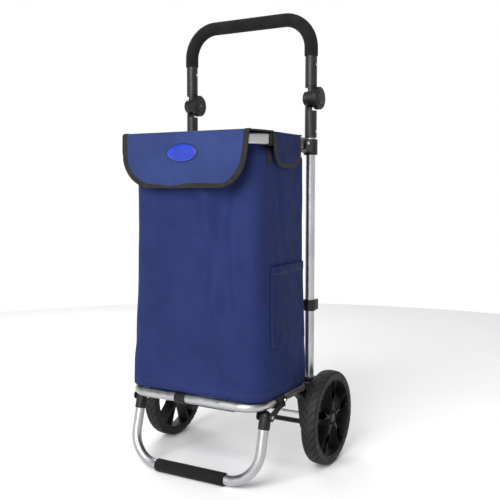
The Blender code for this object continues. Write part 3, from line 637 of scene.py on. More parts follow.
def make_tyre(side, sign):
    centre = Vector((sign * WHEEL_X, AXLE_Y, WHEEL_R))
    pitch = 2 * math.pi / LUGS
    rows = [(-across, radius, cut) for across, radius, cut in reversed(TYRE_HALF_PROFILE[1:])]
    rows += TYRE_HALF_PROFILE
    verts, columns = [], LUGS * len(LUG_COLUMNS)
    for across, radius, cut in rows:
        slant = pitch * LUG_SLANT * min(abs(across) / TYRE_HALF, 1.0) + (pitch / 2 if across > 0 else 0.0)
        for k in range(columns):
            lug, place = divmod(k, len(LUG_COLUMNS))
            angle = pitch * (lug + LUG_COLUMNS[place]) + slant
            depth = GROOVE_DEPTH * cut if LUG_COLUMNS[place] in GROOVE_COLUMNS else 0.0
            reach = radius - depth
            verts.append(centre + Vector((across * sign, reach * math.sin(angle), reach * math.cos(angle))))
    faces = grid_faces(len(rows), columns, wrap=True, closed=True)
    tyre = piece(f"tyre_tread_{side}", verts, faces, "rubber", sharp=50)
    stand_for(tyre, f"wheel_{side}", f"tyre_{side}")


SPOKES = 5
SPOKE_BACK = 0.0165
SPOKE_DEPTH = 0.0285


def spoke_outline():
    """Half of a Y spoke, from the hub out: (distance from the axle, distance from its middle)."""
    outer = [(0.016, 0.0105), (0.021, 0.0070), (0.027, 0.0056), (0.038, 0.0060), (0.052, 0.0084)]
    outer += [(0.068, 0.0130), (0.081, 0.0172), (0.0880, 0.0208), (0.0905, 0.0250)]
    inner = [(0.0905, 0.0070), (0.0872, 0.0092), (0.0800, 0.0102), (0.0680, 0.0078), (0.0560, 0.0050)]
    return outer, inner + [(0.0470, 0.0026), (0.0415, 0.0)]


def make_spoke(centre, outward, angle):
    """A Y spoke with raised edges and a sunk channel on its outer face."""
    outer, inner = spoke_outline()
    outline = outer + inner + [(r, -t) for r, t in reversed(outer + inner[:-1])]
    up = Vector((0, -math.sin(angle), math.cos(angle)))
    across = outward.cross(up)
    work = bmesh.new()
    verts = [work.verts.new(centre + up * r + across * t - outward * SPOKE_BACK) for r, t in outline]
    base = work.faces.new(verts)
    extruded = bmesh.ops.extrude_face_region(work, geom=[base])
    top = [v for v in extruded["geom"] if isinstance(v, bmesh.types.BMVert)]
    bmesh.ops.translate(work, verts=top, vec=outward * SPOKE_DEPTH)
    face = next(f for f in extruded["geom"] if isinstance(f, bmesh.types.BMFace))
    bmesh.ops.inset_region(work, faces=[face], thickness=0.0019, use_even_offset=True)
    bmesh.ops.inset_region(work, faces=[face], thickness=0.0006, depth=-0.0034, use_even_offset=True)
    bmesh.ops.recalc_face_normals(work, faces=work.faces)
    mesh = bpy.data.meshes.new("spoke")
    work.to_mesh(mesh)
    work.free()
    mesh.materials.append(MATERIALS["rim"])
    mesh.shade_smooth()
    return add_object("spoke", mesh)


def make_rim(side, sign):
    centre = Vector((sign * WHEEL_X, AXLE_Y, WHEEL_R))
    outward = X_AXIS * sign
    edge = [(0.0130, 0.0876), (0.0165, 0.0884), (0.0172, 0.0895), (0.0170, 0.0912), (0.0162, RIM_R)]
    ring = edge + [(-along, radius) for along, radius in reversed(edge)]
    parts = [lathe("ring", ring, centre, outward, "rim", 96, closed=True)]
    hub = [(-0.0361, 0.0046), (-0.0361, 0.0132), (-0.0353, 0.0140), (-0.0170, 0.0145), (-0.0140, 0.0190)]
    hub += [(-0.0120, 0.0200), (0.0132, 0.0200), (0.0144, 0.0192), (0.0146, 0.0180), (0.0138, 0.0166)]
    hub += [(0.0095, 0.0160), (0.0095, 0.0046)]
    parts.append(lathe("hub", hub, centre, outward, "rim", 48, closed=True))
    parts += [make_spoke(centre, outward, 2 * math.pi * i / SPOKES) for i in range(SPOKES)]
    rim = merge(f"rim_spokes_{side}", parts)
    rim.data.set_sharp_from_angle(angle=math.radians(35))
    modifier(rim, "BEVEL", width=0.0006, segments=2, limit_method="ANGLE", angle_limit=math.radians(40))
    modifier(rim, "WEIGHTED_NORMAL", weight=60)
    stand_for(rim, f"wheel_{side}", f"rim_{side}")


# ---------------------------------------------------------------- cloth helpers
def smooth_step(value):
    value = max(0.0, min(1.0, value))
    return value * value * (3 - 2 * value)


def along_table(height, table):
    """Read a smooth curve through (height, values...) rows."""
    if height <= table[0][0]:
        return table[0][1:]
    for low, high in zip(table, table[1:]):
        if height <= high[0]:
            share = smooth_step((height - low[0]) / (high[0] - low[0]))
            return [a + (b - a) * share for a, b in zip(low[1:], high[1:])]
    return table[-1][1:]


def grid_faces(rows, columns, wrap=False, closed=False, first=0):
    """Quads between neighbouring rows of a grid of points. wrap joins each row's ends, and closed
    joins the last row to the first."""
    faces = []
    for i in range(rows if closed else rows - 1):
        this, following = first + i * columns, first + (i + 1) % rows * columns
        for k in range(columns if wrap else columns - 1):
            m = (k + 1) % columns
            faces.append((this + k, this + m, following + m, following + k))
    return faces


def cloth_grid(name, rows, columns, material, place):
    """A piece of cloth over a grid. place gives the point and the UV at a row and a column."""
    verts, uvs = zip(*(place(i, k) for i in range(rows) for k in range(columns)))
    return piece(name, verts, grid_faces(rows, columns), material, uvs, sharp=80)


def lengths(path):
    """Distance run at each point of a path."""
    total = [0.0]
    for a, b in zip(path, path[1:]):
        total.append(total[-1] + (b - a).length)
    return total


TAPE_THICK = 0.0030


def binding(name, edge, inwards, normals, width):
    """Tape folded over a cloth edge. edge runs along it, inwards points into the cloth."""
    section = rounded_rect(width / 2, TAPE_THICK / 2, TAPE_THICK * 0.46, 3)
    verts, uvs, run = [], [], lengths(edge)
    count = len(section)
    for i, (point, inward, normal) in enumerate(zip(edge, inwards, normals)):
        pucker = 1 + 0.10 * noise.noise(Vector((run[i] * 55, 1.7, 0.3)))
        for u, v in section:
            verts.append(point + inward * (u + width / 2 - 0.0014) + normal * v * pucker)
            uvs.append((run[i], u))
    faces = grid_faces(len(edge), count, wrap=True)
    last = (len(edge) - 1) * count
    faces += [tuple(range(count)), tuple(range(last, last + count))]
    return piece(name, verts, faces, "webbing", uvs)


STITCH_PITCH = 0.0032
STITCH_LENGTH = 0.0021
THREAD_R = 0.00028
STITCH_RINGS = (
    # place along the stitch, thickness and height as shares of its length and of the thread
    (-0.5, 0.35, -0.4), (-0.3, 0.9, 0.3), (0.0, 1.0, 0.6), (0.3, 0.9, 0.3), (0.5, 0.35, -0.4),
)


def stitches(name, line, normals, material):
    """A row of stitches lying on the cloth along a line."""
    run = lengths(line)
    verts, faces = [], []
    ring = circle(1.0, 6)
    at, i = STITCH_PITCH / 2, 0
    while at < run[-1]:
        while run[i + 1] < at:
            i += 1
        share = (at - run[i]) / (run[i + 1] - run[i])
        middle = line[i].lerp(line[i + 1], share)
        normal = normals[i].lerp(normals[i + 1], share).normalized()
        ahead = (line[i + 1] - line[i]).normalized()
        side = ahead.cross(normal).normalized()
        first = len(verts)
        for along, size, lift in STITCH_RINGS:
            base = middle + ahead * along * STITCH_LENGTH + normal * lift * THREAD_R
            verts += [base + (side * u + normal * v) * THREAD_R * size for u, v in ring]
        faces += grid_faces(5, 6, wrap=True, first=first)
        faces += [tuple(range(first, first + 6)), tuple(range(first + 24, first + 30))]
        at += STITCH_PITCH
    return piece(name, verts, faces, material, sharp=80)


# ---------------------------------------------------------------- bag
BAG_LEVELS = (
    # height, half width, front, back
    (BAG_BOTTOM, 0.1775, -0.1655, 0.0690),
    (0.235, 0.1775, -0.1622, 0.0705),
    (0.300, 0.1738, -0.1590, 0.0720),
    (0.450, 0.1680, -0.1580, 0.0735),
    (0.600, 0.1668, -0.1575, 0.0735),
    (0.716, 0.1664, -0.1575, 0.0730),
    (0.7370, 0.1545, -0.1545, 0.0600),
    (BAG_TOP, 0.1545, -0.1540, 0.0600),
)
FRONT_CORNER = 0.040
BACK_CORNER = 0.025
BAG_COLUMNS = 236
BAG_ROWS = 112
BAG_HEM = 0.0035
CLOTH_THICK = 0.0014
POCKET_THICK = 0.0011
BAG_FOLDS = (
    # soft folds and creases, each from (distance round from the front's middle, height) to the
    # same, how far the cloth stands out there, and how wide the fold is
    ((0.110, 0.700), (0.030, 0.440), -0.0125, 0.026),
    ((0.030, 0.690), (0.065, 0.430), 0.0115, 0.018),
    ((-0.095, 0.640), (-0.070, 0.330), 0.0090, 0.022),
    ((0.050, 0.430), (0.130, 0.235), 0.0120, 0.022),
    ((0.105, 0.600), (0.122, 0.340), 0.0080, 0.014),
    ((0.000, 0.380), (0.070, 0.225), -0.0095, 0.020),
    ((-0.150, 0.300), (-0.060, 0.235), -0.0035, 0.018),
    ((0.222, 0.232), (0.290, 0.302), 0.0048, 0.0062),
    ((0.236, 0.206), (0.312, 0.262), 0.0042, 0.0062),
    ((0.214, 0.262), (0.250, 0.330), 0.0036, 0.0060),
    ((-0.215, 0.206), (-0.290, 0.310), 0.0040, 0.0065),
    ((-0.245, 0.204), (-0.318, 0.280), 0.0034, 0.0060),
    ((0.232, 0.700), (0.250, 0.560), -0.0040, 0.012),
    ((-0.232, 0.700), (-0.250, 0.540), -0.0040, 0.012),
    ((0.330, 0.520), (0.270, 0.640), 0.0030, 0.014),
    ((0.510, 0.650), (0.440, 0.420), -0.0030, 0.020),
    ((-0.510, 0.600), (-0.440, 0.360), 0.0030, 0.022),
)


def half_round(height):
    """Half the way round the bag at this height."""
    width, front, back = along_table(height, BAG_LEVELS)
    bends = math.pi / 2 * (FRONT_CORNER + BACK_CORNER)
    return 2 * width + back - front + bends - 2 * (FRONT_CORNER + BACK_CORNER)


def bag_outline(height, run):
    """Point and outward direction at a distance round the bag from the middle of its front."""
    width, front, back = along_table(height, BAG_LEVELS)
    sign, left = (1 if run >= 0 else -1), abs(run)
    flat = width - FRONT_CORNER
    side = back - front - FRONT_CORNER - BACK_CORNER
    front_bend, back_bend = math.pi / 2 * FRONT_CORNER, math.pi / 2 * BACK_CORNER
    if left <= flat:
        x, y, out = left, front, (0.0, -1.0)
    elif left <= flat + front_bend:
        turn = (left - flat) / FRONT_CORNER
        out = (math.sin(turn), -math.cos(turn))
        x, y = flat + FRONT_CORNER * out[0], front + FRONT_CORNER * (1 + out[1])
    elif left <= flat + front_bend + side:
        x, y, out = width, front + FRONT_CORNER + left - flat - front_bend, (1.0, 0.0)
    elif left <= flat + front_bend + side + back_bend:
        turn = (left - flat - front_bend - side) / BACK_CORNER
        out = (math.cos(turn), math.sin(turn))
        x = width - BACK_CORNER * (1 - out[0])
        y = back - BACK_CORNER * (1 - out[1])
    else:
        x, y, out = width - BACK_CORNER - (left - flat - front_bend - side - back_bend), back, (0.0, 1.0)
    return Vector((sign * x, y, height)), Vector((sign * out[0], out[1], 0))


def fold_height(run, height):
    """How far the listed folds lift the cloth at a point of the bag."""
    total = 0.0
    for (run_a, low), (run_b, high), lift, width in BAG_FOLDS:
        along = Vector((run_b - run_a, high - low))
        offset = Vector((run - run_a, height - low))
        share = offset.dot(along) / along.length_squared
        across = abs(offset.x * along.y - offset.y * along.x) / along.length
        if across > 3 * width or not -0.25 < share < 1.25:
            continue
        ends = smooth_step((share + 0.25) / 0.45) * smooth_step((1.25 - share) / 0.45)
        total += lift * ends * math.exp(-((across / width) ** 2))
    return total


def bag_relief(run, height):
    """How far the cloth stands out from the bag's plain outline."""
    share = (height - BAG_BOTTOM) / (BAG_TOP - BAG_BOTTOM)
    hold = smooth_step(share / 0.07) * smooth_step((1 - share) / 0.10)
    if abs(run) > 0.36:
        hold *= 0.6
    long_folds = 0.0050 * noise.noise(Vector((run * 8.5, height * 1.5, 0.4)))
    ripples = 0.0020 * noise.noise(Vector((run * 21, height * 4.5, 2.2)))
    puckers = 0.0007 * noise.noise(Vector((run * 48, height * 17, 5.1)))
    return hold * (long_folds + ripples + puckers + fold_height(run, height))


def bag_point(run, height, lift=0.0):
    """A point of the bag's cloth, or one that stands off it."""
    point, out = bag_outline(height, run)
    above = height - BAG_BOTTOM
    tuck = BAG_HEM - math.sqrt(max(0.0, BAG_HEM**2 - max(0.0, BAG_HEM - above) ** 2))
    return point + out * (bag_relief(run, height) - tuck + lift), out


def make_bag():
    start, stop = BAG_BOTTOM + 0.0004, BAG_TOP - 0.0005
    heights = [start + (stop - start) * (i / (BAG_ROWS - 1)) ** 1.15 for i in range(BAG_ROWS)]
    shares = [-1 + 2 * k / BAG_COLUMNS for k in range(BAG_COLUMNS)]
    verts, uvs = [], []
    for inset in (0.10, 0.55, 0.97):
        for share in shares:
            point, _ = bag_point(share * half_round(start), start)
            middle = Vector((0, -0.043, start))
            verts.append(middle + (point - middle) * inset)
            uvs.append((verts[-1].x, verts[-1].y))
    for height in heights:
        for share in shares:
            run = share * half_round(height)
            verts.append(bag_point(run, height)[0])
            uvs.append((run, height))
    rows = len(verts) // BAG_COLUMNS
    faces = grid_faces(rows, BAG_COLUMNS, wrap=True) + [tuple(range(BAG_COLUMNS))]
    bag = piece("bag_cloth", verts, faces, ["cloth", "lining"], uvs, sharp=80)
    close_uv_seam(bag, 2 * half_round(0.45))
    modifier(bag, "SOLIDIFY", thickness=CLOTH_THICK, offset=-1, material_offset=1, material_offset_rim=0)
    parts = [bag, make_mouth_tape(), *make_bag_seams()]
    stand_for(bag, "chassis", "bag_body")
    for part in parts:
        follow_bag(part)


def close_uv_seam(made, total):
    """Faces that cross the start of the ring get UVs that run on, not back."""
    layer = made.data.uv_layers[0].data
    for face in made.data.polygons:
        across = [layer[i].uv.x for i in face.loop_indices]
        if max(across) - min(across) > total / 2:
            for i in face.loop_indices:
                if layer[i].uv.x < 0:
                    layer[i].uv.x += total


def follow_bag(part):
    """The piece rides on the chassis, unless it already rides on a body, with its own copy of its mesh."""
    if part.parent is None:
        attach(part, "chassis")
    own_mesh(part)


def make_mouth_tape():
    height = BAG_TOP - 0.0020
    steps = 160
    runs = [half_round(height) * (-1 + 2 * i / steps) for i in range(steps + 1)]
    edge = [bag_point(run, height, -0.0007)[0] + Z_AXIS * 0.0014 for run in runs]
    outs = [bag_outline(height, run)[1] for run in runs]
    return binding("bag_mouth_tape", edge, [-Z_AXIS] * len(edge), outs, width=0.014)


def seam_line(points):
    """Stitch places on the bag and the directions that stand off it."""
    placed = [bag_point(run, height, 0.0001) for run, height in points]
    return [p for p, _ in placed], [n for _, n in placed]


def make_bag_seams():
    """Rows of stitches: two above the bottom edge and one down each back corner."""
    rows = []
    steps = 150
    for lift in (0.0130, 0.0165):
        height = BAG_BOTTOM + lift
        points = [(half_round(height) * (-1 + 2 * i / steps), height) for i in range(steps + 1)]
        rows.append(points)
    for sign in (-1, 1):
        for offset in (0.0, 0.004):
            run = sign * (0.395 + offset)
            rows.append([(run, BAG_BOTTOM + 0.017 + 0.53 * i / 90) for i in range(91)])
    return [stitches(f"bag_stitches_{i + 1}", *seam_line(row), "thread") for i, row in enumerate(rows)]


# ---------------------------------------------------------------- side pocket
POCKET_LOW = 0.302
POCKET_HIGH = 0.480
POCKET_FRONT_RUN = 0.2020
POCKET_WIDTH = 0.165
POCKET_HEM = 0.020


def pocket_point(across, up):
    """A point of the pocket's cloth: across and up run from 0 to 1."""
    height = POCKET_LOW + (POCKET_HIGH - POCKET_LOW) * up
    run = POCKET_FRONT_RUN + POCKET_WIDTH * across
    edge = min(1.0, 7 * across, 7 * (1 - across)) * min(1.0, 6 * up)
    slack = 0.0034 * smooth_step(edge) * (0.35 + 0.65 * up)
    slack += 0.0009 * smooth_step(edge) * noise.noise(Vector((across * 5, up * 3, 7.7)))
    return bag_point(run, height, 0.0012 + slack)


def make_pocket():
    columns, rows, tall = 44, 56, POCKET_HIGH - POCKET_LOW

    def place(i, k):
        across, up = k / (columns - 1), i / (rows - 1)
        return pocket_point(across, up)[0], (POCKET_WIDTH * across, tall * up)

    pocket = cloth_grid("pocket_cloth", rows, columns, "pocket_cloth", place)
    thicken(pocket, POCKET_THICK)
    parts = [make_pocket_hem(), *make_pocket_stitches()]
    stand_for(pocket, "chassis", "side_pocket")
    for part in [pocket, *parts]:
        follow_bag(part)


def make_pocket_hem():
    """The pocket's turned-over top edge, a little thicker than its cloth."""
    columns, rows = 44, 7
    depth = POCKET_HEM / (POCKET_HIGH - POCKET_LOW)

    def place(i, k):
        across, share = k / (columns - 1), i / (rows - 1)
        rise = 0.0007 + 0.0006 * math.sin(math.pi * share)
        point, out = pocket_point(across, 1 - depth * (1 - share))
        return point + out * rise, (POCKET_WIDTH * across, POCKET_HEM * share)

    hem = cloth_grid("pocket_hem", rows, columns, "pocket_cloth", place)
    thicken(hem, POCKET_THICK)
    return hem


def make_pocket_stitches():
    rows = []
    depth = POCKET_HEM / (POCKET_HIGH - POCKET_LOW)
    for level, lift in ((1 - depth * 0.88, 0.0014), (1 - depth * 0.72, 0.0018)):
        rows.append([(k / 60, level, lift) for k in range(61)])
    for across in (0.018, 0.982):
        rows.append([(across, 0.01 + 0.98 * k / 60, 0.0008) for k in range(61)])
    rows.append([(0.02 + 0.96 * k / 60, 0.015, 0.0008) for k in range(61)])
    made = []
    for i, row in enumerate(rows):
        placed = [pocket_point(across, up) for across, up, _ in row]
        line = [point + out * lift for (point, out), (_, _, lift) in zip(placed, row)]
        made.append(stitches(f"pocket_stitches_{i + 1}", line, [out for _, out in placed], "thread"))
    return made


# ---------------------------------------------------------------- lid with its side tabs
LID_TOP = 0.7676
LID_FRONT = -0.1790
TAB_FRONT = -0.1100
TAB_REAR = 0.0170
TAB_FRONT_CORNER = 0.044
TAB_REAR_CORNER = 0.042
TAB_X = 0.1782
TAB_BEND = 0.0045
TAB_BOTTOM = 0.6930
LID_EDGE = (
    # y, half width of the lid's top there
    (LID_FRONT, 0.1640),
    (-0.1640, 0.1700),
    (-0.1350, 0.1755),
    (TAB_FRONT, TAB_X),
)


def lid_half_width(y):
    if TAB_FRONT <= y <= TAB_REAR:
        return TAB_X - TAB_BEND
    if y > TAB_REAR:
        return TAB_X - 0.0100 * (y - TAB_REAR) / (COVER_REAR - TAB_REAR)
    return along_table(y, LID_EDGE)[0]


def lid_height(x, y):
    """The lid hangs a little between the sides of the hoop."""
    across = max(0.0, 1 - (x / 0.158) ** 2)
    along = max(0.0, 1 - ((y + 0.055) / 0.110) ** 2)
    wrinkle = 0.0010 * noise.noise(Vector((x * 22, y * 16, 3.3)))
    return LID_TOP - 0.0050 * across * along + wrinkle * min(1.0, 2 * across + 0.2)


def tab_low(y):
    """Height of a side tab's lower edge: round corners, deeper in the middle."""
    for corner, radius in ((TAB_FRONT, TAB_FRONT_CORNER), (TAB_REAR, TAB_REAR_CORNER)):
        inside = abs(y - corner)
        if inside < radius:
            return TAB_BOTTOM + radius - math.sqrt(radius**2 - (radius - inside) ** 2)
    return TAB_BOTTOM


def tab_path(y, sign, share):
    """Point and outward normal of a tab, from its fold at the lid to its lower edge."""
    bend = math.pi / 2 * TAB_BEND
    drop = lid_height(TAB_X, y) - TAB_BEND - tab_low(y)
    run = share * (bend + drop)
    top = lid_height(TAB_X - TAB_BEND, y)
    if run < bend:
        turn = run / TAB_BEND
        out = Vector((sign * math.sin(turn), 0, math.cos(turn)))
        middle = Vector((sign * (TAB_X - TAB_BEND), y, top - TAB_BEND))
        return middle + out * TAB_BEND, out
    down = run - bend
    flare = 0.0016 * math.sin(math.pi * min(1.0, down / 0.07))
    flare += 0.0005 * noise.noise(Vector((y * 30, down * 20, sign)))
    return Vector((sign * (TAB_X + flare), y, top - TAB_BEND - down)), Vector((sign, 0, 0))


def lid_stations():
    """Where the lid's cross-lines run, close together near the tabs' round corners."""
    front = [LID_FRONT + (TAB_FRONT - 0.0004 - LID_FRONT) * i / 14 for i in range(15)]
    tab = [TAB_FRONT + TAB_FRONT_CORNER * (1 - math.cos(math.pi / 2 * i / 12)) for i in range(13)]
    flat = TAB_REAR - TAB_REAR_CORNER - TAB_FRONT - TAB_FRONT_CORNER
    middle = [TAB_FRONT + TAB_FRONT_CORNER + flat * i / 8 for i in range(1, 8)]
    rear = [TAB_REAR - TAB_REAR_CORNER * (1 - math.sin(math.pi / 2 * i / 12)) for i in range(13)]
    back = [TAB_REAR + 0.0004 + (COVER_REAR - TAB_REAR - 0.0004) * i / 4 for i in range(5)]
    return front + tab + middle + rear + back


def make_lid():
    stations, columns, tab_rows = lid_stations(), 64, 18
    verts, uvs = [], []
    for y in stations:
        half = lid_half_width(y)
        for k in range(columns):
            x = half * (-1 + 2 * k / (columns - 1))
            verts.append(Vector((x, y, lid_height(x, y))))
            uvs.append((x, y))
    faces = grid_faces(len(stations), columns)
    inside = [i for i, y in enumerate(stations) if TAB_FRONT <= y <= TAB_REAR]
    for sign, edge in ((-1, 0), (1, columns - 1)):
        last = [i * columns + edge for i in inside]
        for row in range(1, tab_rows):
            this = []
            for i in inside:
                point, _ = tab_path(stations[i], sign, row / (tab_rows - 1))
                this.append(len(verts))
                verts.append(point)
                uvs.append((sign * (TAB_X + LID_TOP - point.z), point.y))
            faces += [(a, b, d, c) for a, b, c, d in zip(last, last[1:], this, this[1:])]
            last = this
    lid = piece("lid_cloth", verts, faces, "lid_cloth", uvs, sharp=80)
    thicken(lid, CLOTH_THICK)
    tapes = [make_lid_tape(side, sign) for side, sign in SIDES] + make_lid_stitches()
    stand_for(lid, "cover", "bag_cover")
    for tape in tapes:
        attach(tape, "cover")


def into_tab(point):
    """Direction from a tab's lower edge towards its middle."""
    front, rear = TAB_FRONT + TAB_FRONT_CORNER, TAB_REAR - TAB_REAR_CORNER
    radius = TAB_FRONT_CORNER if point.y < front else TAB_REAR_CORNER
    nearest = min(max(point.y, front), rear)
    return Vector((0, nearest - point.y, TAB_BOTTOM + radius - point.z)).normalized()


def lid_edge_line(sign):
    """The lid's bound edge on one side, from the flap's fold round the tab to the back.

    Gives its points, the directions into the cloth and those that stand off it.
    """
    rows = []
    for i in range(24):
        y = LID_FRONT + (TAB_FRONT - LID_FRONT) * i / 24
        half = lid_half_width(y)
        rows.append((Vector((sign * half, y, lid_height(half, y))), -X_AXIS * sign, Z_AXIS))
    down = [0.25 + 0.75 * i / 16 for i in range(17)]
    for share in down:
        point, out = tab_path(TAB_FRONT, sign, share)
        rows.append((point, Y_AXIS, out))
    front, rear = TAB_FRONT + TAB_FRONT_CORNER, TAB_REAR - TAB_REAR_CORNER
    along = [front - TAB_FRONT_CORNER * math.cos(math.radians(t)) for t in range(6, 91, 6)]
    along += [front + (rear - front) * i / 8 for i in range(1, 8)]
    along += [rear + TAB_REAR_CORNER * math.sin(math.radians(t)) for t in range(0, 85, 6)]
    for y in along:
        point, out = tab_path(y, sign, 1.0)
        rows.append((point, into_tab(point), out))
    for share in reversed(down):
        point, out = tab_path(TAB_REAR, sign, share)
        rows.append((point, -Y_AXIS, out))
    return zip(*rows)


def make_lid_tape(side, sign):
    return binding(f"lid_tape_{side}", *lid_edge_line(sign), width=0.0115)


def make_lid_stitches():
    made = []
    for name, y, level_y, half, lift in (
        ("back", COVER_REAR - 0.006, COVER_REAR - 0.006, 0.160, 0.0009),
        ("front", LID_FRONT + 0.006, LID_FRONT, 0.155, 0.0016),
    ):
        places = [half * (i / 20 - 1) for i in range(41)]
        line = [Vector((x, y, lid_height(x, level_y) + lift)) for x in places]
        made.append(stitches(f"lid_stitches_{name}", line, [Z_AXIS] * len(line), "thread"))
    return made


STRIP_WIDTH = 0.292
STRIP_PROFILE = (
    # y, z from the lid's back edge down to the bag
    (0.0440, 0.7664), (0.0490, 0.7670), (0.0530, 0.7662), (0.0570, 0.7640), (0.0605, 0.7605),
    (0.0625, 0.7560), (0.0634, 0.7500), (0.0640, 0.7430),
)


def make_hinge_strip():
    """Cloth that joins the lid's back edge to the bag, behind the bag's mouth."""
    columns = 40

    def place(i, k):
        y, z = STRIP_PROFILE[i]
        x = STRIP_WIDTH * (k / (columns - 1) - 0.5)
        return Vector((x, y + 0.0004 * noise.noise(Vector((x * 40, z * 30, 1))), z)), (x, z)

    strip = cloth_grid("lid_hinge_strip", len(STRIP_PROFILE), columns, "webbing", place)
    thicken(strip, 0.0010)
    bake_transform(strip)


# ---------------------------------------------------------------- front flap and its badge
FLAP_BEND = 0.0070
FLAP_TOP = LID_TOP + 0.0012
FLAP_CORNER = 0.072
FLAP_MIDDLE = -0.0005
BEND_STEPS = 9
BADGE_HALF_X = 0.0408
BADGE_HALF_Z = 0.0198
BADGE_RINGS = (
    # share of the oval's size, how far it stands off the flap; the first four make the dark rim
    (1.0, 0.0), (0.995, 0.0007), (0.975, 0.0012), (0.945, 0.0012), (0.925, 0.0008), (0.905, 0.0009),
    (0.86, 0.0013), (0.70, 0.0018), (0.50, 0.0021), (0.28, 0.0023), (0.10, 0.0024),
)


def flap_face(height):
    """How far forward the flap hangs at a height."""
    down = (FLAP_TOP - height) / (FLAP_TOP - FLAP_BOTTOM)
    return -0.1868 - 0.0048 * math.sin(math.pi * min(1.0, down * 0.85)) ** 1.2


def flap_half_width(height):
    return FLAP_HALF_WIDTH - 0.0036 * smooth_step((FLAP_TOP - height) / 0.075)


def flap_low(x):
    """Height of the flap's lower edge: straight, with round corners."""
    flat = flap_half_width(FLAP_BOTTOM) - FLAP_CORNER
    if abs(x) <= flat:
        return FLAP_BOTTOM
    over = min(abs(x) - flat, FLAP_CORNER)
    return FLAP_BOTTOM + FLAP_CORNER - math.sqrt(FLAP_CORNER**2 - over**2)


def flap_point(x, height):
    ripple = 0.0012 * noise.noise(Vector((x * 16, height * 9, 9.0)))
    loose = smooth_step((FLAP_TOP - height) / 0.05)
    return Vector((x + FLAP_MIDDLE, flap_face(height) + ripple * loose, height))


def flap_fold():
    """Where the fold's middle lies, and the outward directions round it from the top down."""
    turns = [math.pi / 2 * i / BEND_STEPS for i in range(BEND_STEPS)]
    outs = [Vector((0, -math.sin(turn), math.cos(turn))) for turn in turns]
    return Vector((0, flap_face(FLAP_TOP - FLAP_BEND) + FLAP_BEND, FLAP_TOP - FLAP_BEND)), outs


def make_flap():
    shares, hanging = [math.sin(math.pi / 2 * k / 32) for k in range(-32, 33)], 44
    middle, outs = flap_fold()
    profile = [(middle.y + back, FLAP_TOP) for back in (0.010, 0.005)]
    profile += [(middle + out * FLAP_BEND).yz for out in outs]

    def place(i, k):
        if i < len(profile):
            x, (y, z) = shares[k] * FLAP_HALF_WIDTH + FLAP_MIDDLE, profile[i]
            return Vector((x, y, z)), (x, FLAP_TOP - y - 0.18)
        low = flap_low(shares[k] * flap_half_width(FLAP_BOTTOM))
        height = middle.z + (low - middle.z) * (i - len(profile)) / (hanging - 1)
        point = flap_point(shares[k] * flap_half_width(height), height)
        return point, (point.x, point.z)

    flap = cloth_grid("flap_cloth", hanging + len(profile), len(shares), "flap_cloth", place)
    thicken(flap, CLOTH_THICK)
    tape = binding("flap_tape", *flap_edge_line(), width=0.0135)
    seam = make_flap_stitches()
    bend_with_flap(flap)
    bend_with_flap(tape)
    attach(seam, "flap")
    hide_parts("front_flap")


def bend_with_flap(made):
    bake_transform(made)


def flap_edge_line(inset=0.0):
    """The flap's bound edge, from the fold on the left round to the fold on the right.

    Gives its points, the directions into the cloth and those that stand off it.
    """
    middle, outs = flap_fold()
    side = X_AXIS * (FLAP_HALF_WIDTH - inset + FLAP_MIDDLE)
    right = [(middle + side + out * FLAP_BEND, -X_AXIS, out) for out in outs]
    low = FLAP_BOTTOM + FLAP_CORNER
    for i in range(17):
        height = middle.z + (low - middle.z) * i / 17
        right.append((flap_point(flap_half_width(height) - inset, height), -X_AXIS, -Y_AXIS))
    flat = flap_half_width(FLAP_BOTTOM) - FLAP_CORNER
    for i in range(19):
        turn = math.radians(5 * i)
        out = Vector((math.cos(turn), 0, -math.sin(turn)))
        at = out * (FLAP_CORNER - inset)
        right.append((flap_point(flat + at.x, low + at.z), -out, -Y_AXIS))
    for i in range(1, 13):
        right.append((flap_point(flat * (1 - i / 13), FLAP_BOTTOM + inset), Z_AXIS, -Y_AXIS))
    bottom = (flap_point(0, FLAP_BOTTOM + inset), Z_AXIS, -Y_AXIS)
    mirror, shift = Vector((-1, 1, 1)), X_AXIS * 2 * FLAP_MIDDLE
    left = [(point * mirror + shift, inward * mirror, out * mirror) for point, inward, out in right]
    return [list(row) for row in zip(*left, bottom, *reversed(right))]


def make_flap_stitches():
    edge, _, normals = flap_edge_line(inset=0.0104)
    keep = slice(12, len(edge) - 12)
    line = [point + normal * 0.0017 for point, normal in zip(edge, normals)][keep]
    return stitches("flap_stitches", line, normals[keep], "black_thread")


def make_badge():
    """A plain domed oval in a dark rim."""
    verts, count = [], 64
    for share, lift in BADGE_RINGS:
        for u, v in circle(share, count):
            point = flap_point(BADGE_HALF_X * u, BADGE_Z + BADGE_HALF_Z * v)
            verts.append(point - Y_AXIS * (0.0009 + lift))
    faces = grid_faces(len(BADGE_RINGS), count, wrap=True)
    slots = [1 if i // count < 4 else 0 for i in range(len(faces))] + [0, 1]
    last = (len(BADGE_RINGS) - 1) * count
    faces += [tuple(range(last, last + count)), tuple(range(count))]
    badge = piece("badge_oval", verts, faces, ["badge", "badge_rim"], slots=slots, sharp=60)
    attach(badge, "flap")
    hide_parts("badge")


# ---------------------------------------------------------------- webbing on the hoop
STRAP_Y = -0.1112
STRAP_HALF = 0.0092
TAIL_TOP = 0.738
TAIL_LENGTH = 0.040


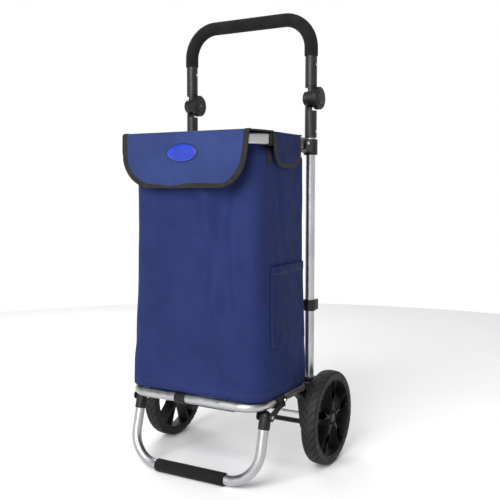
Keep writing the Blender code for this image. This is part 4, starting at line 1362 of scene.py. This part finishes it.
def make_strap(side, sign):
    """A webbing loop round the hoop, with a tail sewn to the side of the bag."""
    middle = Vector((sign * UPRIGHT_X, STRAP_Y, HOOP_Z))
    inner = rounded_rect(HOOP_HALF_WIDTH + 0.0008, HOOP_HALF_HEIGHT + 0.0003, 0.0050)
    outer = rounded_rect(HOOP_HALF_WIDTH + 0.0020, HOOP_HALF_HEIGHT + 0.0014, 0.0060)
    verts = []
    for ring, across in ((outer, -1), (outer, 1), (inner, 1), (inner, -1)):
        verts += [middle + Vector((u * sign, across * STRAP_HALF, v)) for u, v in ring]
    faces = grid_faces(4, len(outer), wrap=True, closed=True)
    loop = piece(f"strap_loop_{side}", verts, faces, "webbing")
    stand_for(loop, "hoop", f"hoop_strap_{side}")
    run = flat_run(STRAP_Y)

    def place(i, k):
        down, across = TAIL_LENGTH * i / 12, STRAP_HALF * (k / 2 - 1)
        return bag_point(sign * (run + across), TAIL_TOP - down, 0.0012)[0], (down, across)

    tail = cloth_grid(f"strap_tail_{side}", 13, 5, "webbing", place)
    thicken(tail, 0.0013)
    follow_bag(tail)


def flat_run(y):
    """Distance round the bag, at the straps, from the middle of its front to a place on its side."""
    width, front, _ = along_table(0.72, BAG_LEVELS)
    return width - FRONT_CORNER + math.pi * FRONT_CORNER / 2 + y - front - FRONT_CORNER


# ---------------------------------------------------------------- base board
def finish_board():
    modifier(frame["nodes"]["base_board"], "BEVEL", width=0.0008, segments=2, limit_method="ANGLE")


# ---------------------------------------------------------------- studio
CAMERA_PLACE = Vector((0.930, -1.5175, 0.6448))
CAMERA_TURN = math.radians(29.9)
CAMERA_DOWN = math.radians(4.58)
CAMERA_LENS = 54.1


def make_camera():
    data = bpy.data.cameras.new("camera")
    data.lens, data.sensor_width = CAMERA_LENS, 36
    camera = add_object("camera", data)
    level = math.cos(CAMERA_DOWN)
    ahead = Vector((-math.sin(CAMERA_TURN) * level, math.cos(CAMERA_TURN) * level, -math.sin(CAMERA_DOWN)))
    camera.location = CAMERA_PLACE
    camera.rotation_euler = ahead.to_track_quat("-Z", "Y").to_euler()
    bpy.context.scene.camera = camera


LIGHTS = (
    # name, place, aimed at, size, power
    ("key", (0.15, -2.9, 2.0), (0, 0, 0.5), (2.0, 2.0), 125),
    ("rim", (-1.6, 1.2, 1.8), (0, 0, 0.6), (0.8, 1.6), 16),
)


def area_light(name, place, target, size, power):
    data = bpy.data.lights.new(name, "AREA")
    data.shape = "RECTANGLE"
    data.size, data.size_y = size
    data.energy = power
    light = add_object(name, data)
    light.location = place
    light.rotation_euler = (Vector(target) - Vector(place)).to_track_quat("-Z", "Y").to_euler()


SKY_DIRECTION = (0.87, 0.50, 0.0)
SKY_STOPS = ((0.0, 0.10), (0.20, 0.22), (0.34, 1.0), (0.655, 1.0), (0.78, 0.12), (1.0, 0.05))
SKY_LOW = 0.20
SKY_HIGH = 0.40


def make_sky():
    """A white band over the middle that darkens to both sides, and white all round low down."""
    world = bpy.data.worlds.new("studio")
    world.use_nodes = True
    sky = Nodes(world.node_tree)
    place = sky.node("ShaderNodeTexCoord").outputs["Generated"]
    across = sky.maths("ShaderNodeVectorMath", "DOT_PRODUCT", place, SKY_DIRECTION, "Value")
    stops = [(stop, (value, value, value)) for stop, value in SKY_STOPS]
    band = sky.ramp(sky.spread(across, 0.0, 1.0, from_low=-1.0), stops, "EASE")
    parts = sky.node("ShaderNodeSeparateXYZ")
    sky.link(place, parts.inputs["Vector"])
    low = sky.spread(parts.outputs["Z"], 1.0, 0.0, SKY_LOW, SKY_HIGH)
    background = sky.tree.nodes["Background"]
    background.inputs["Strength"].default_value = 1.0
    sky.link(sky.maths("ShaderNodeVectorMath", "MAXIMUM", band, low), background.inputs["Color"])
    bpy.context.scene.world = world


FLOOR_R = 2.5


def make_studio():
    profile = [(-0.0005, 0), (-0.0005, FLOOR_R), (-0.01, FLOOR_R), (-0.01, 0)]
    lathe("floor", profile, Vector(), Z_AXIS, "floor", 64)
    make_sky()
    bpy.context.scene.view_settings.view_transform = "Standard"
    for light in LIGHTS:
        area_light(*light)


finish_frame_nodes()
make_uprights()
make_handle()
make_base_tube()
make_leg()
make_hoop()
for side, sign in SIDES:
    make_tyre(side, sign)
    make_rim(side, sign)
    make_strap(side, sign)
make_bag()
make_pocket()
make_lid()
make_hinge_strip()
make_flap()
make_badge()
finish_board()
make_camera()
make_studio()
